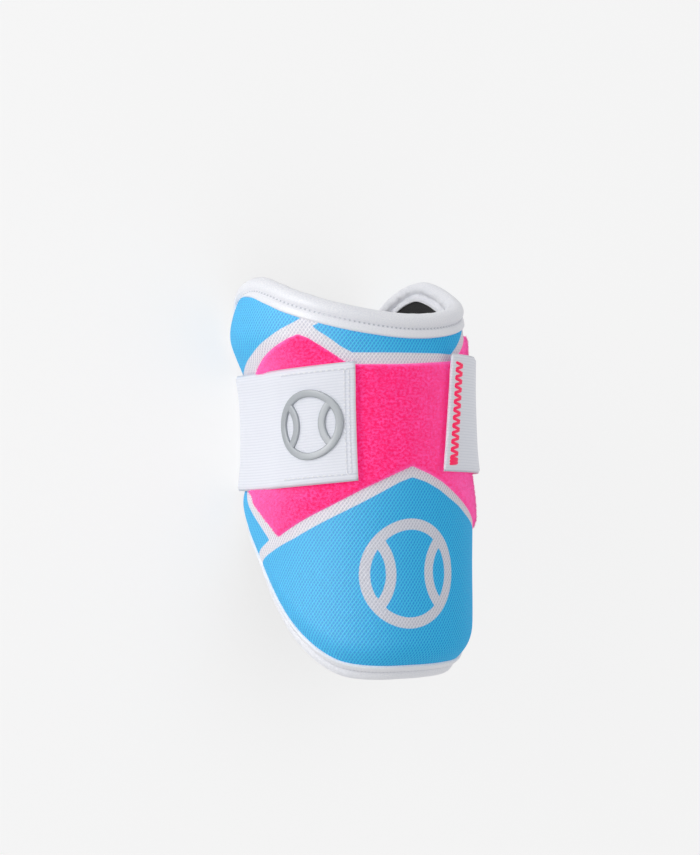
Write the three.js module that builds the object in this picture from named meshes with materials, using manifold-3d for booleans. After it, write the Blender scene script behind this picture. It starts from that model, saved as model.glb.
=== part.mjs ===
// Baseball elbow guard: a padded shell that wraps round the outside of the elbow, bound at its edge with a
// stretch tape, lined in black, and closed behind the arm by one elastic strap whose two ends grip a brushed
// loop panel. It lies as it would on a table: nose up, resting on the flat back span of its strap.
//
// Frame: +Y runs up the arm from the lower end to the upper rim, +Z points out of the nose, and -X is the
// side of the flap that carries the strap's wide end. Units are millimetres and degrees.
import * as THREE from "three";
import { mergeVertices } from "three/addons/utils/BufferGeometryUtils.js";
import Module from "manifold-3d";

const wasm = await Module();
wasm.setup();

// Shell
const shellLength = 162; // along the arm, pad edge to pad edge
const noseDepth = 48.5; // arm axis to the outer face in front
const halfWidth = 48; // arm axis to the outer face at the side, on average
const squareness = 2.25; // exponent of the section, where 2 is an ellipse
const flapWrap = 129; // how far each flap reaches round from the nose
const padThickness = 8.5;
const edgeThickness = 4.5; // the pad is thinner where the binding grips it
const curlDepth = 10; // how far the lower edge turns in towards the arm
const curlZone = 14; // width of the band that turns in

// Soft layers
const seatGap = 0.3; // clearance between pieces that touch
const facetRoom = 0.25; // what a flat facet may cut into the curved face under it
const liningThickness = 1;
const pileThickness = 1;
const flangeThickness = 0.9; // binding, flat part
const rollThickness = 2.1; // binding, padded roll round the edge
const outerLeg = 9.6; // binding on the outer face, measured from the edge's tip
const innerLeg = 7; // binding on the lining side
const outerSeam = 5.7; // edge's tip to the outer row of stitches
const liningStart = 3.7; // edge's tip to the lining's edge, under the binding

// Strap
const strapWidth = 49.2;
const strapThickness = 1.6;
const strapHeight = 104.5; // its middle, above the shell's lower end, at the wide end
const strapRise = 3.4; // the plain end is fixed this much higher than the wide end
const strapDip = 6.5; // how much lower it passes behind the arm
const strapTwist = 1.9; // how much further down it has come a quarter of the way from the wide end
const wideEndWrap = 31; // where the wide end stops, left of the nose
const plainEndWrap = 15; // where the plain end stops, right of the nose
const backDepth = 34; // arm axis to the strap's outer face behind the arm
const backFillet = 16; // inner radius where the strap turns across the back

// Hook pads and emblem
const hookThickness = 0.9;
const hookWide = { length: 32, width: 43.5 };
const hookPlain = { length: 22, width: 43.5 };
const hookInset = 2.5; // from the strap's end
const emblemRadius = 13; // to the middle of the ring
const emblemLine = 3; // width of the raised lines
const emblemThickness = 1.1;
const emblemFromEnd = 19; // strap's wide end to the emblem's middle

// Shares of noseDepth and halfWidth by height, which is a share of shellLength. The strap presses the sides
// in between about 0.45 and 0.8.
const sections = [
  { height: -0.105, nose: 0.969, left: 0.9, right: 1.063 },
  { height: -0.043, nose: 0.99, left: 0.9, right: 1.079 },
  { height: 0.111, nose: 1.016, left: 0.885, right: 1.092 },
  { height: 0.265, nose: 1.002, left: 0.885, right: 1.096 },
  { height: 0.36, nose: 1.0, left: 0.905, right: 1.1 },
  { height: 0.43, nose: 0.998, left: 0.92, right: 1.088 },
  { height: 0.5, nose: 0.998, left: 0.848, right: 1.042 },
  { height: 0.56, nose: 0.999, left: 0.832, right: 1.008 },
  { height: 0.636, nose: 1.0, left: 0.835, right: 0.988 },
  { height: 0.72, nose: 1.0, left: 0.862, right: 0.976 },
  { height: 0.76, nose: 0.999, left: 0.91, right: 0.98 },
  { height: 0.8, nose: 0.998, left: 0.98, right: 0.984 },
  { height: 0.85, nose: 0.995, left: 1.055, right: 0.98 },
  { height: 0.9, nose: 0.993, left: 1.065, right: 0.965 },
  { height: 1.02, nose: 0.986, left: 1.027, right: 0.9 },
  { height: 1.1, nose: 0.986, left: 1.027, right: 0.9 },
];

// Half of the shell's edge from the middle of the rim, over the flap, to the middle of the lower end.
// wrap is a share of flapWrap, height of shellLength and curl of curlDepth. corner marks where a run ends,
// and drop is how much lower the edge runs on the right.
const edgeTable = [
  { wrap: 0.0, height: 0.892, curl: 0.12 },
  { wrap: 0.101, height: 0.895, curl: 0.12 },
  { wrap: 0.24, height: 0.908, curl: 0.12 },
  { wrap: 0.367, height: 0.928, curl: 0.12 },
  { wrap: 0.51, height: 0.957, curl: 0.13 },
  { wrap: 0.596, height: 0.977, curl: 0.15 },
  { wrap: 0.69, height: 0.991, curl: 0.18 },
  { wrap: 0.76, height: 0.987, curl: 0.22 },
  { wrap: 0.83, height: 0.974, curl: 0.27 },
  { wrap: 0.9, height: 0.95, curl: 0.35 },
  { wrap: 0.955, height: 0.913, curl: 0.42, corner: true },
  { wrap: 0.99, height: 0.863, curl: 0.5 },
  { wrap: 1.01, height: 0.79, curl: 0.56 },
  { wrap: 1.02, height: 0.7, curl: 0.59 },
  { wrap: 1.02, height: 0.6, curl: 0.6 },
  { wrap: 1.018, height: 0.5, curl: 0.62 },
  { wrap: 1.005, height: 0.43, curl: 0.63 },
  { wrap: 0.975, height: 0.375, curl: 0.64 },
  { wrap: 0.93, height: 0.327, curl: 0.64 },
  { wrap: 0.875, height: 0.289, curl: 0.65 },
  { wrap: 0.815, height: 0.248, curl: 0.65 },
  { wrap: 0.76, height: 0.208, curl: 0.66 },
  { wrap: 0.705, height: 0.17, curl: 0.68 },
  { wrap: 0.645, height: 0.133, curl: 0.7, corner: true, drop: 0.004 },
  { wrap: 0.581, height: 0.098, curl: 0.73, drop: 0.01 },
  { wrap: 0.506, height: 0.063, curl: 0.79, drop: 0.016 },
  { wrap: 0.42, height: 0.03, curl: 0.88, drop: 0.017 },
  { wrap: 0.33, height: 0.006, curl: 0.96, drop: 0.012 },
  { wrap: 0.2, height: -0.007, curl: 1.0, drop: 0.004 },
  { wrap: 0.0, height: -0.011, curl: 1.0 },
];

// Upper and lower edge of the loop panel. wrap is a share of flapWrap, positive towards the left flap, and
// height a share of shellLength.
const panelReach = { left: 0.93, right: -0.93 };
const panelTop = [
  { wrap: 0.93, height: 0.71 },
  { wrap: 0.68, height: 0.8 },
  { wrap: 0.465, height: 0.867 },
  { wrap: 0.275, height: 0.792 },
  { wrap: -0.21, height: 0.792 },
  { wrap: -0.4, height: 0.867 },
  { wrap: -0.62, height: 0.8 },
  { wrap: -0.93, height: 0.71 },
];
const panelBottom = [
  { wrap: 0.93, height: 0.49 },
  { wrap: 0.8, height: 0.43 },
  { wrap: 0.605, height: 0.346 },
  { wrap: 0.022, height: 0.53 },
  { wrap: -0.3, height: 0.417 },
  { wrap: -0.56, height: 0.333 },
  { wrap: -0.76, height: 0.42 },
  { wrap: -0.93, height: 0.5 },
];

// Fineness of the facets
const acrossSteps = 20; // along the rim, and along the lower end
const alongSteps = 17; // down each free edge
const shellStations = [0.06, 0.13, 0.22, 0.36, 0.52, 0.74, 1]; // shares of the way from the edge's tip
const panelSteps = { across: 30, along: 7 };
const strapSteps = { wideSide: 14, fillet: 5, back: 5, plainSide: 20, across: 3 };

const radians = THREE.MathUtils.degToRad;
const flatRadius = (noseDepth + halfWidth) / 2; // turns wrap angles into flat lengths

// Value of one column of a table at x, by a smooth curve through its rows
function smoothColumn(table, key, column, x) {
  const last = table.length - 1;
  const found = table.findIndex((row) => row[key] > x);
  const i = found < 0 ? last - 1 : Math.max(0, found - 1);
  const rows = [Math.max(0, i - 1), i, i + 1, Math.min(last, i + 2)].map((k) => table[k]);
  const span = rows[2][key] - rows[1][key];
  const t = THREE.MathUtils.clamp((x - rows[1][key]) / span, 0, 1);
  const slope = (a, b) => ((b[column] - a[column]) / (b[key] - a[key] || 1)) * span;
  const start = slope(rows[0], rows[2]);
  const end = slope(rows[1], rows[3]);
  const rise = rows[2][column] - rows[1][column];
  return rows[1][column] + t * (start + t * (3 * rise - 2 * start - end + t * (start + end - 2 * rise)));
}

// Value of one column at x, by straight lines between the rows, whose key falls from row to row
function straightColumn(table, key, column, x) {
  const found = table.findIndex((row) => row[key] < x);
  const i = found < 0 ? table.length - 1 : Math.max(1, found);
  const [a, b] = [table[i - 1], table[i]];
  const t = THREE.MathUtils.clamp((x - a[key]) / (b[key] - a[key]), 0, 1);
  return a[column] + t * (b[column] - a[column]);
}

// Outer face of the shell before its edge turns in: flat coordinates s (round the arm, positive to the left
// flap) and y (up the arm) to a point, by a superellipse section
function facePoint(s, y) {
  const angle = s / flatRadius;
  const nose = noseDepth * smoothColumn(sections, "height", "nose", y / shellLength);
  const side = angle > 0 ? "left" : "right";
  const width = halfWidth * smoothColumn(sections, "height", side, y / shellLength);
  const reach =
    Math.abs(Math.cos(angle) / nose) ** squareness + Math.abs(Math.sin(angle) / width) ** squareness;
  const radius = reach ** (-1 / squareness);
  return new THREE.Vector3(-radius * Math.sin(angle), y, radius * Math.cos(angle));
}

// Point and outward normal of that face
function faceFrame(s, y) {
  const step = 0.05;
  const point = facePoint(s, y);
  const round = facePoint(s + step, y).sub(facePoint(s - step, y));
  const up = facePoint(s, y + step).sub(facePoint(s, y - step));
  return { point, normal: up.cross(round).normalize() };
}

// The shell's edge as a closed run of flat points, evenly spaced between its four corners
function edgeRing() {
  const pointOf = (row, side) => {
    const height = side < 0 ? row.height - (row.drop ?? 0) : row.height;
    const s = side * radians(row.wrap * flapWrap) * flatRadius;
    return new THREE.Vector3(s, height * shellLength, row.curl);
  };
  const half = edgeTable.map((row) => pointOf(row, 1));
  const mirrored = edgeTable.slice(1, -1).reverse().map((row) => pointOf(row, -1));
  const curve = new THREE.CatmullRomCurve3([...half, ...mirrored], true, "centripetal");
  const total = half.length + mirrored.length;
  const corners = edgeTable.flatMap((row, i) => (row.corner ? [i] : []));
  const stops = [...corners, ...corners.map((i) => total - i).reverse(), corners[0] + total];
  const counts = [alongSteps, acrossSteps, alongSteps, acrossSteps];
  return counts.flatMap((count, run) => evenRun(curve, stops[run] / total, stops[run + 1] / total, count));
}

// count points of a closed curve, evenly spaced by length from parameter a up to, and without, parameter b
function evenRun(curve, a, b, count) {
  const fine = 40 * count;
  const points = Array.from({ length: fine + 1 }, (_, i) => curve.getPoint((a + ((b - a) * i) / fine) % 1));
  const lengths = [0];
  for (let i = 1; i <= fine; i++) lengths.push(lengths[i - 1] + points[i].distanceTo(points[i - 1]));
  return Array.from({ length: count }, (_, k) => {
    const target = (lengths[fine] * k) / count;
    const i = Math.max(1, lengths.findIndex((length) => length > target));
    const t = (target - lengths[i - 1]) / (lengths[i] - lengths[i - 1]);
    return points[i - 1].clone().lerp(points[i], t);
  });
}

const ring = edgeRing();
const panelFace = seatGap + 2 * facetRoom + pileThickness; // height of the pile over the shell

// Inward direction in the flat at each edge point
const inward = ring.map((_, i) => {
  const before = ring[(i + ring.length - 1) % ring.length];
  const after = ring[(i + 1) % ring.length];
  const along = new THREE.Vector2(after.x - before.x, after.y - before.y).normalize();
  return new THREE.Vector2(along.y, -along.x);
});

// How far the outer face has turned in, at a flat distance from the edge
function curlDrop(distance, curl) {
  const share = Math.max(0, 1 - distance / curlZone);
  return curlDepth * curl * share ** 2;
}

// Flat distance from the edge, and the curl there, for any flat point
function nearEdge(s, y) {
  let best = { distance: Infinity, curl: 0 };
  ring.forEach((a, i) => {
    const b = ring[(i + 1) % ring.length];
    const run = new THREE.Vector2(b.x - a.x, b.y - a.y);
    const t = THREE.MathUtils.clamp(((s - a.x) * run.x + (y - a.y) * run.y) / run.lengthSq(), 0, 1);
    const distance = Math.hypot(s - a.x - t * run.x, y - a.y - t * run.y);
    if (distance < best.distance) best = { distance, curl: a.z + t * (b.z - a.z) };
  });
  return best;
}

// Point at a height above the shell's outer face, its turned edge included
function overShell(s, y, lift) {
  const { point, normal } = faceFrame(s, y);
  const { distance, curl } = nearEdge(s, y);
  return point.addScaledVector(normal, lift - curlDrop(distance, curl));
}

// The pad's cross-section at its edge, as points (out, up) with outward normals: along the outer face to the
// tip, round it, and back along the inner face
function edgeProfile(curl) {
  const steps = 40;
  const outer = Array.from({ length: steps + 1 }, (_, i) => {
    const distance = curlZone * (1 - i / steps);
    const slope = (2 * curlDepth * curl * (1 - distance / curlZone)) / curlZone;
    const at = new THREE.Vector2(-distance, -curlDrop(distance, curl));
    return { at, normal: new THREE.Vector2(slope, 1).normalize(), distance };
  });
  const inner = outer.map(({ at, normal, distance }) => {
    const thickness = padThickness - (padThickness - edgeThickness) * (1 - distance / curlZone) ** 2;
    return { at: at.clone().addScaledVector(normal, -thickness), normal: normal.clone().negate() };
  });
  const end = outer[steps];
  const middle = end.at.clone().addScaledVector(end.normal, -edgeThickness / 2);
  const tip = [];
  for (let turn = 15; turn < 180; turn += 15) {
    const normal = end.normal.clone().rotateAround(new THREE.Vector2(), -radians(turn));
    tip.push({ at: middle.clone().addScaledVector(normal, edgeThickness / 2), normal });
  }
  return [...outer, ...tip, ...inner.reverse()];
}

// The profile at one edge point as a lookup by arc length from its tip, negative on the outer face, with the
// arc lengths at which the outer and the inner face stop turning in
function profileLookup(curl) {
  const points = edgeProfile(curl);
  const lengths = [0];
  for (let i = 1; i < points.length; i++) {
    lengths.push(lengths[i - 1] + points[i].at.distanceTo(points[i - 1].at));
  }
  const total = lengths[lengths.length - 1];
  const outerEnd = lengths[(points.length - 1) / 2];
  const at = (arc) => {
    const target = THREE.MathUtils.clamp(arc + outerEnd, 0, total);
    const found = lengths.findIndex((length) => length > target);
    const i = found < 0 ? points.length - 1 : Math.max(1, found);
    const t = (target - lengths[i - 1]) / (lengths[i] - lengths[i - 1]);
    return {
      at: points[i - 1].at.clone().lerp(points[i].at, t),
      normal: points[i - 1].normal.clone().lerp(points[i].normal, t).normalize(),
    };
  };
  return { at, outerEnd, innerEnd: total - outerEnd };
}

const profiles = ring.map((p) => profileLookup(p.z));

// Flat point of the edge ring's point i, moved inwards
function flatInside(i, distance) {
  return [ring[i].x + inward[i].x * distance, ring[i].y + inward[i].y * distance];
}

// Point at (out, up) of the cross-section that stands on edge point i
function placeAtEdge(i, out, up) {
  if (out <= 0) {
    const { point, normal } = faceFrame(...flatInside(i, -out));
    return point.addScaledVector(normal, up);
  }
  const { point, normal } = faceFrame(ring[i].x, ring[i].y);
  const outwards = point.clone().sub(facePoint(...flatInside(i, 1))).normalize();
  return point.addScaledVector(outwards, out).addScaledVector(normal, up);
}

// Closed run of points round the edge, at the arc length that arcOf gives for each profile, lifted off
// the pad
function ringAt(arcOf, lift) {
  const row = profiles.map((profile, i) => {
    const { at, normal } = profile.at(arcOf(profile));
    at.addScaledVector(normal, lift);
    return placeAtEdge(i, at.x, at.y);
  });
  return [...row, row[0]];
}

// Fills what the turned edge encloses with a grid that blends its four runs, at a depth under the outer face
function fillGrid(depth) {
  const [left, low] = [alongSteps, acrossSteps];
  const flat = ring.map((_, i) => new THREE.Vector2(...flatInside(i, curlZone)));
  const at = (i) => flat[((i % flat.length) + flat.length) % flat.length];
  const mix = (a, b, t) => a.clone().multiplyScalar(1 - t).addScaledVector(b, t);
  const corner = [at(0), at(left), at(left + low), at(2 * left + low)];
  return Array.from({ length: left + 1 }, (_, i) =>
    Array.from({ length: low + 1 }, (_, j) => {
      const [u, v] = [j / low, i / left];
      const sides = mix(at(i), at(2 * left + low - i), u);
      const ends = mix(at(-j), at(left + j), v);
      const both = mix(mix(corner[0], corner[3], u), mix(corner[1], corner[2], u), v);
      const p = sides.add(ends).sub(both);
      const { point, normal } = faceFrame(p.x, p.y);
      return point.addScaledVector(normal, -depth);
    }),
  );
}

// Adds the two triangles of each cell of a grid of points
function addSheet(soup, rows) {
  for (let i = 1; i < rows.length; i++) {
    for (let j = 1; j < rows[i].length; j++) {
      const [a, b, c, d] = [rows[i - 1][j - 1], rows[i - 1][j], rows[i][j], rows[i][j - 1]];
      for (const p of [a, b, c, a, c, d]) soup.push(p.x, p.y, p.z);
    }
  }
}

// One closed geometry, facing out, from sheets whose edges meet
function closedGeometry(sheets) {
  const soup = [];
  for (const rows of sheets) addSheet(soup, rows);
  let volume = 0;
  const [a, b, c] = [new THREE.Vector3(), new THREE.Vector3(), new THREE.Vector3()];
  for (let i = 0; i < soup.length; i += 9) {
    a.fromArray(soup, i);
    b.fromArray(soup, i + 3);
    c.fromArray(soup, i + 6);
    volume += a.dot(b.cross(c));
  }
  const order = volume < 0 ? [0, 2, 1] : [0, 1, 2];
  const facing = [];
  for (let i = 0; i < soup.length; i += 9) {
    for (const corner of order) facing.push(...soup.slice(i + 3 * corner, i + 3 * corner + 3));
  }
  const geometry = new THREE.BufferGeometry();
  geometry.setAttribute("position", new THREE.Float32BufferAttribute(facing, 3));
  const merged = mergeVertices(geometry, 1e-4);
  merged.computeVertexNormals();
  return merged;
}

// The same grid facing the other way
function flipped(rows) {
  return rows.map((row) => [...row].reverse());
}

// Closed geometry between an outer and an inner grid of the same size
function slab(outer, inner) {
  const last = outer.length - 1;
  const across = outer[0].length - 1;
  const walls = [
    [inner[0], outer[0]],
    [outer[last], inner[last]],
    [outer.map((row) => row[0]), inner.map((row) => row[0])],
    [inner.map((row) => row[across]), outer.map((row) => row[across])],
  ];
  return closedGeometry([outer, flipped(inner), ...walls]);
}

// The pad: outer face, rounded edge and inner face
function padGeometry() {
  const outerBand = shellStations.map((share) => ringAt(({ outerEnd }) => -share * outerEnd, 0));
  const innerBand = shellStations.map((share) => ringAt(({ innerEnd }) => share * innerEnd, 0));
  const band = [...outerBand.reverse(), ringAt(() => 0, 0), ...innerBand];
  return closedGeometry([band, fillGrid(0), flipped(fillGrid(padThickness))]);
}

// The lining: a thin skin on the pad's inner face, which ends under the binding
function liningGeometry() {
  const steps = 3;
  const near = seatGap;
  const far = seatGap + liningThickness;
  const arcOf = (k) => (profile) => THREE.MathUtils.lerp(liningStart, profile.innerEnd, k / steps);
  const bandAt = (lift) => Array.from({ length: steps + 1 }, (_, k) => ringAt(arcOf(k), lift));
  const nearBand = bandAt(near);
  const farBand = bandAt(far);
  const sheets = [nearBand, flipped(fillGrid(padThickness + near)), [...farBand].reverse()];
  return closedGeometry([...sheets, fillGrid(padThickness + far), [farBand[0], nearBand[0]]]);
}

// The binding: a tape folded over the edge, flat outside its seams and a padded roll between them
function bindingGeometry() {
  const overLining = seatGap + liningThickness + seatGap;
  const roll = rollThickness;
  const flat = flangeThickness;
  const stations = [
    { arc: -outerLeg, base: seatGap, thick: flat },
    { arc: (-outerLeg - outerSeam) / 2, base: seatGap, thick: flat },
    { arc: -outerSeam, base: seatGap, thick: flat },
    { arc: -outerSeam + 1.2, base: seatGap, thick: roll },
    { arc: -3.1, base: seatGap, thick: roll },
    { arc: -1.6, base: seatGap, thick: roll },
    { arc: 0, base: seatGap, thick: roll },
    { arc: 1.6, base: seatGap, thick: roll },
    { arc: liningStart - 1.1, base: seatGap, thick: roll },
    { arc: liningStart - 0.35, base: overLining, thick: flat },
    { arc: innerLeg, base: overLining, thick: flat },
  ];
  const under = stations.map(({ arc, base }) => ringAt(() => arc, base));
  const over = stations.map(({ arc, base, thick }) => ringAt(() => arc, base + thick));
  return closedGeometry([[...over, ...under.reverse(), over[0]]]);
}

// The loop panel: pile fabric over the middle of the outer face
function panelGeometry() {
  const { left, right } = panelReach;
  const corners = [...panelTop, ...panelBottom].map((row) => row.wrap);
  const count = panelSteps.across;
  const even = Array.from({ length: count + 1 }, (_, i) => left + ((right - left) * i) / count);
  const merged = [...even, ...corners].sort((a, b) => b - a);
  const columns = merged.filter((wrap, i) => i === 0 || merged[i - 1] - wrap > 0.004);
  const grid = (lift) =>
    columns.map((wrap) => {
      const top = straightColumn(panelTop, "wrap", "height", wrap) * shellLength;
      const bottom = straightColumn(panelBottom, "wrap", "height", wrap) * shellLength;
      const s = radians(wrap * flapWrap) * flatRadius;
      return Array.from({ length: panelSteps.along + 1 }, (_, j) =>
        overShell(s, top + ((bottom - top) * j) / panelSteps.along, lift),
      );
    });
  return slab(grid(panelFace), grid(panelFace - pileThickness));
}

const hookBase = panelFace + seatGap + facetRoom;
const strapOverHook = hookBase + hookThickness + seatGap;
const strapOverPanel = panelFace + seatGap + facetRoom;

// How high the strap's inner face lies over the shell, from the angle to the nearer end
function strapLift(fromEnd) {
  const hookAngle = (hookWide.length + hookInset) / flatRadius;
  const fade = THREE.MathUtils.smoothstep(fromEnd, hookAngle, 1.4 * hookAngle);
  return THREE.MathUtils.lerp(strapOverHook, strapOverPanel, fade);
}

// Height above the lower end of the strap's middle, at a share of the way from its wide end
function strapMiddle(share) {
  const drop = strapDip * Math.sin(Math.PI * share) + strapTwist * Math.sin(2 * Math.PI * share);
  return strapHeight + strapRise * share - drop;
}

// Point of the strap's inner path beside the arm, and its normal in the plane of the section
function besideArm(angle, y, lift) {
  const step = 0.001;
  const point = facePoint(angle * flatRadius, y);
  const before = facePoint((angle - step) * flatRadius, y);
  const after = facePoint((angle + step) * flatRadius, y);
  const normal = new THREE.Vector3(after.z - before.z, 0, before.x - after.x).normalize();
  return { point: point.addScaledVector(normal, lift), normal };
}

// Angle at which the strap leaves the side for the fillet that turns it across the back
function turnAngle(side, y) {
  const floor = -(backDepth - strapThickness);
  let [low, high] = [radians(80), radians(150)];
  for (let i = 0; i < 40; i++) {
    const middle = (low + high) / 2;
    const { point, normal } = besideArm(side * middle, y, strapOverPanel);
    const lowest = point.addScaledVector(normal, -backFillet).z - backFillet;
    if (lowest > floor) low = middle;
    else high = middle;
  }
  return (low + high) / 2;
}

// Stations of the strap at a distance from its middle line: inner point and normal, from the wide end round
// the left side, across the back and up the right side to the plain end. step is the angle between stations
// of the wide side.
function strapRow(across) {
  const { wideSide, fillet, back, plainSide } = strapSteps;
  const total = wideSide + plainSide + 2 * fillet + back;
  const yAt = (index) => strapMiddle(index / total) + across;
  const row = [];
  const leftTurnIndex = wideSide;
  const rightTurnIndex = total - plainSide;
  const leftTurn = turnAngle(1, yAt(leftTurnIndex));
  const rightTurn = turnAngle(-1, yAt(rightTurnIndex));
  const start = radians(wideEndWrap);
  const end = radians(plainEndWrap);
  for (let i = 0; i < wideSide; i++) {
    const angle = THREE.MathUtils.lerp(start, leftTurn, i / wideSide);
    row.push(besideArm(angle, yAt(i), strapLift(angle - start)));
  }
  const filletCentre = (side, turn, index) => {
    const { point, normal } = besideArm(side * turn, yAt(index), strapOverPanel);
    return { centre: point.addScaledVector(normal, -backFillet), normal };
  };
  const arc = (side, turn, turnIndex, index, forwards) => {
    const { centre, normal } = filletCentre(side, turn, turnIndex);
    const first = Math.atan2(normal.z, side * -normal.x);
    for (let k = 0; k < fillet; k++) {
      const t = forwards ? k / fillet : (fillet - k) / fillet;
      const turnTo = THREE.MathUtils.lerp(first, -Math.PI / 2, t);
      const out = new THREE.Vector3(-side * Math.cos(turnTo), 0, Math.sin(turnTo));
      const at = centre.clone().addScaledVector(out, backFillet);
      at.y = yAt(index + k);
      row.push({ point: at, normal: out });
    }
  };
  arc(1, leftTurn, leftTurnIndex, leftTurnIndex, true);
  const down = new THREE.Vector3(0, 0, -1);
  const from = filletCentre(1, leftTurn, leftTurnIndex).centre.x;
  const to = filletCentre(-1, rightTurn, rightTurnIndex).centre.x;
  for (let k = 0; k < back; k++) {
    const x = THREE.MathUtils.lerp(from, to, k / back);
    const y = yAt(leftTurnIndex + fillet + k);
    row.push({ point: new THREE.Vector3(x, y, -(backDepth - strapThickness)), normal: down });
  }
  arc(-1, rightTurn, rightTurnIndex, rightTurnIndex - fillet, false);
  for (let i = 0; i <= plainSide; i++) {
    const angle = THREE.MathUtils.lerp(rightTurn, end, i / plainSide);
    row.push(besideArm(-angle, yAt(rightTurnIndex + i), strapLift(angle - end)));
  }
  return { stations: row, step: (leftTurn - start) / wideSide };
}

const strapRows = Array.from({ length: strapSteps.across + 1 }, (_, j) =>
  strapRow(strapWidth * (0.5 - j / strapSteps.across)),
);

// Grid of strap points at a height over its inner face
function strapGrid(lift) {
  const lifted = ({ point, normal }) => point.clone().addScaledVector(normal, lift);
  return strapRows.map(({ stations }) => stations.map(lifted));
}

function strapGeometry() {
  return slab(strapGrid(strapThickness), strapGrid(0));
}

// Point over the shell under one of the strap's ends: along is measured from that end, across from the
// strap's middle line, and side is 1 at the wide end and -1 at the plain end
function nearStrapEnd(side, along, across, lift) {
  const end = radians(side > 0 ? wideEndWrap : plainEndWrap);
  const angle = end + along / flatRadius;
  const share = along / (2 * Math.PI * flatRadius);
  const y = strapMiddle(side > 0 ? share : 1 - share) + across;
  return besideArm(side * angle, y, lift).point;
}

// Point over the facets of the strap's inner face at its wide end, along and across measured the same way
function overWideEnd(along, across, lift) {
  const last = strapSteps.across - 1;
  const place = (0.5 - across / strapWidth) * strapSteps.across;
  const j = THREE.MathUtils.clamp(Math.floor(place), 0, last);
  const [above, below] = [strapRows[j], strapRows[j + 1]].map(({ stations, step }) => {
    const station = along / flatRadius / step;
    const i = Math.floor(station);
    const between = (key) => stations[i][key].clone().lerp(stations[i + 1][key], station - i);
    return between("point").addScaledVector(between("normal"), lift);
  });
  return above.lerp(below, place - j);
}

// A hook pad between the strap's end and the pile
function hookGeometry(side, size) {
  const steps = { along: 5, across: 4 };
  const grid = (lift) =>
    Array.from({ length: steps.along + 1 }, (_, i) => {
      const along = hookInset + (size.length * i) / steps.along;
      const row = Array.from({ length: steps.across + 1 }, (_, j) => size.width * (0.5 - j / steps.across));
      return row.map((across) => nearStrapEnd(side, along, across, lift));
    });
  return slab(grid(hookBase + hookThickness), grid(hookBase));
}

// A raised line of the emblem along a flat path on the strap, as a manifold solid
function raisedLine(path, closed) {
  const base = strapThickness + seatGap;
  const count = path.length;
  const rows = path.map((p, i) => {
    const before = path[closed ? (i + count - 1) % count : Math.max(0, i - 1)];
    const after = path[closed ? (i + 1) % count : Math.min(count - 1, i + 1)];
    const side = new THREE.Vector2(before.y - after.y, after.x - before.x).setLength(emblemLine / 2);
    const corner = (sign, lift) => overWideEnd(p.x + sign * side.x, p.y + sign * side.y, lift);
    const [low, high] = [base, base + emblemThickness];
    const section = [corner(-1, low), corner(1, low), corner(1, high), corner(-1, high)];
    return [...section, section[0]];
  });
  const sheets = closed ? [[...rows, rows[0]]] : [rows, ...endCaps(rows)];
  return toManifold(closedGeometry(sheets));
}

// The two ends of an open raised line
function endCaps(rows) {
  const cap = ([a, b, c, d]) => [[a, b], [d, c]];
  const turned = ([a, b, c, d]) => [[b, a], [c, d]];
  return [turned(rows[0]), cap(rows[rows.length - 1])];
}

function toManifold(geometry) {
  const bare = new THREE.BufferGeometry();
  bare.setAttribute("position", geometry.getAttribute("position"));
  bare.setIndex(geometry.index);
  const merged = mergeVertices(bare, 1e-4);
  const vertProperties = new Float32Array(merged.getAttribute("position").array);
  const triVerts = new Uint32Array(merged.index.array);
  return new wasm.Manifold(new wasm.Mesh({ numProp: 3, vertProperties, triVerts }));
}

function fromManifold(solid) {
  const mesh = solid.getMesh();
  const geometry = new THREE.BufferGeometry();
  geometry.setAttribute("position", new THREE.BufferAttribute(mesh.vertProperties, 3));
  geometry.setIndex(new THREE.BufferAttribute(mesh.triVerts, 1));
  geometry.computeVertexNormals();
  return geometry;
}

// The emblem: a ball of two seam arcs inside a ring
function emblemGeometry() {
  const circleSteps = 32;
  const circle = Array.from({ length: circleSteps }, (_, i) => {
    const turn = (2 * Math.PI * i) / circleSteps;
    return new THREE.Vector2(emblemFromEnd + emblemRadius * Math.cos(turn), emblemRadius * Math.sin(turn));
  });
  let solid = raisedLine(circle, true);
  const seamSteps = 10;
  const seamRadius = 0.9 * emblemRadius; // each seam is an arc about a point beside the ball
  const seamCentre = 1.35 * emblemRadius;
  const spread = Math.acos(
    (seamCentre ** 2 + seamRadius ** 2 - emblemRadius ** 2) / (2 * seamCentre * seamRadius),
  );
  for (const side of [-1, 1]) {
    const seam = Array.from({ length: seamSteps + 1 }, (_, i) => {
      const turn = spread * ((2 * i) / seamSteps - 1);
      const out = side * (seamCentre - seamRadius * Math.cos(turn));
      return new THREE.Vector2(emblemFromEnd + out, side * seamRadius * Math.sin(turn));
    });
    solid = solid.add(raisedLine(seam, false));
  }
  return fromManifold(solid);
}

// Materials
const fabric = (color, roughness) => new THREE.MeshStandardMaterial({ color, roughness, metalness: 0 });
const printedKnit = fabric(0x3cafe2, 0.75);
const pinkPile = fabric(0xfa2d84, 0.95);
const blackLining = fabric(0x222227, 0.9);
const whiteTape = fabric(0xeeeff4, 0.6);
const whiteElastic = fabric(0xe9ebf6, 0.8);
const whiteHook = fabric(0xe4e6ee, 0.7);
const greyRubber = fabric(0xacb2b9, 0.5);

const guard = new THREE.Group();

function addPiece(name, geometry, material) {
  const mesh = new THREE.Mesh(geometry, material);
  mesh.name = name;
  guard.add(mesh);
}

addPiece("padded_shell", padGeometry(), printedKnit);
addPiece("inner_lining", liningGeometry(), blackLining);
addPiece("edge_binding", bindingGeometry(), whiteTape);
addPiece("loop_panel", panelGeometry(), pinkPile);
addPiece("elastic_strap", strapGeometry(), whiteElastic);
addPiece("hook_pad_wide_end", hookGeometry(1, hookWide), whiteHook);
addPiece("hook_pad_plain_end", hookGeometry(-1, hookPlain), whiteHook);
addPiece("strap_emblem", emblemGeometry(), greyRubber);

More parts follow.
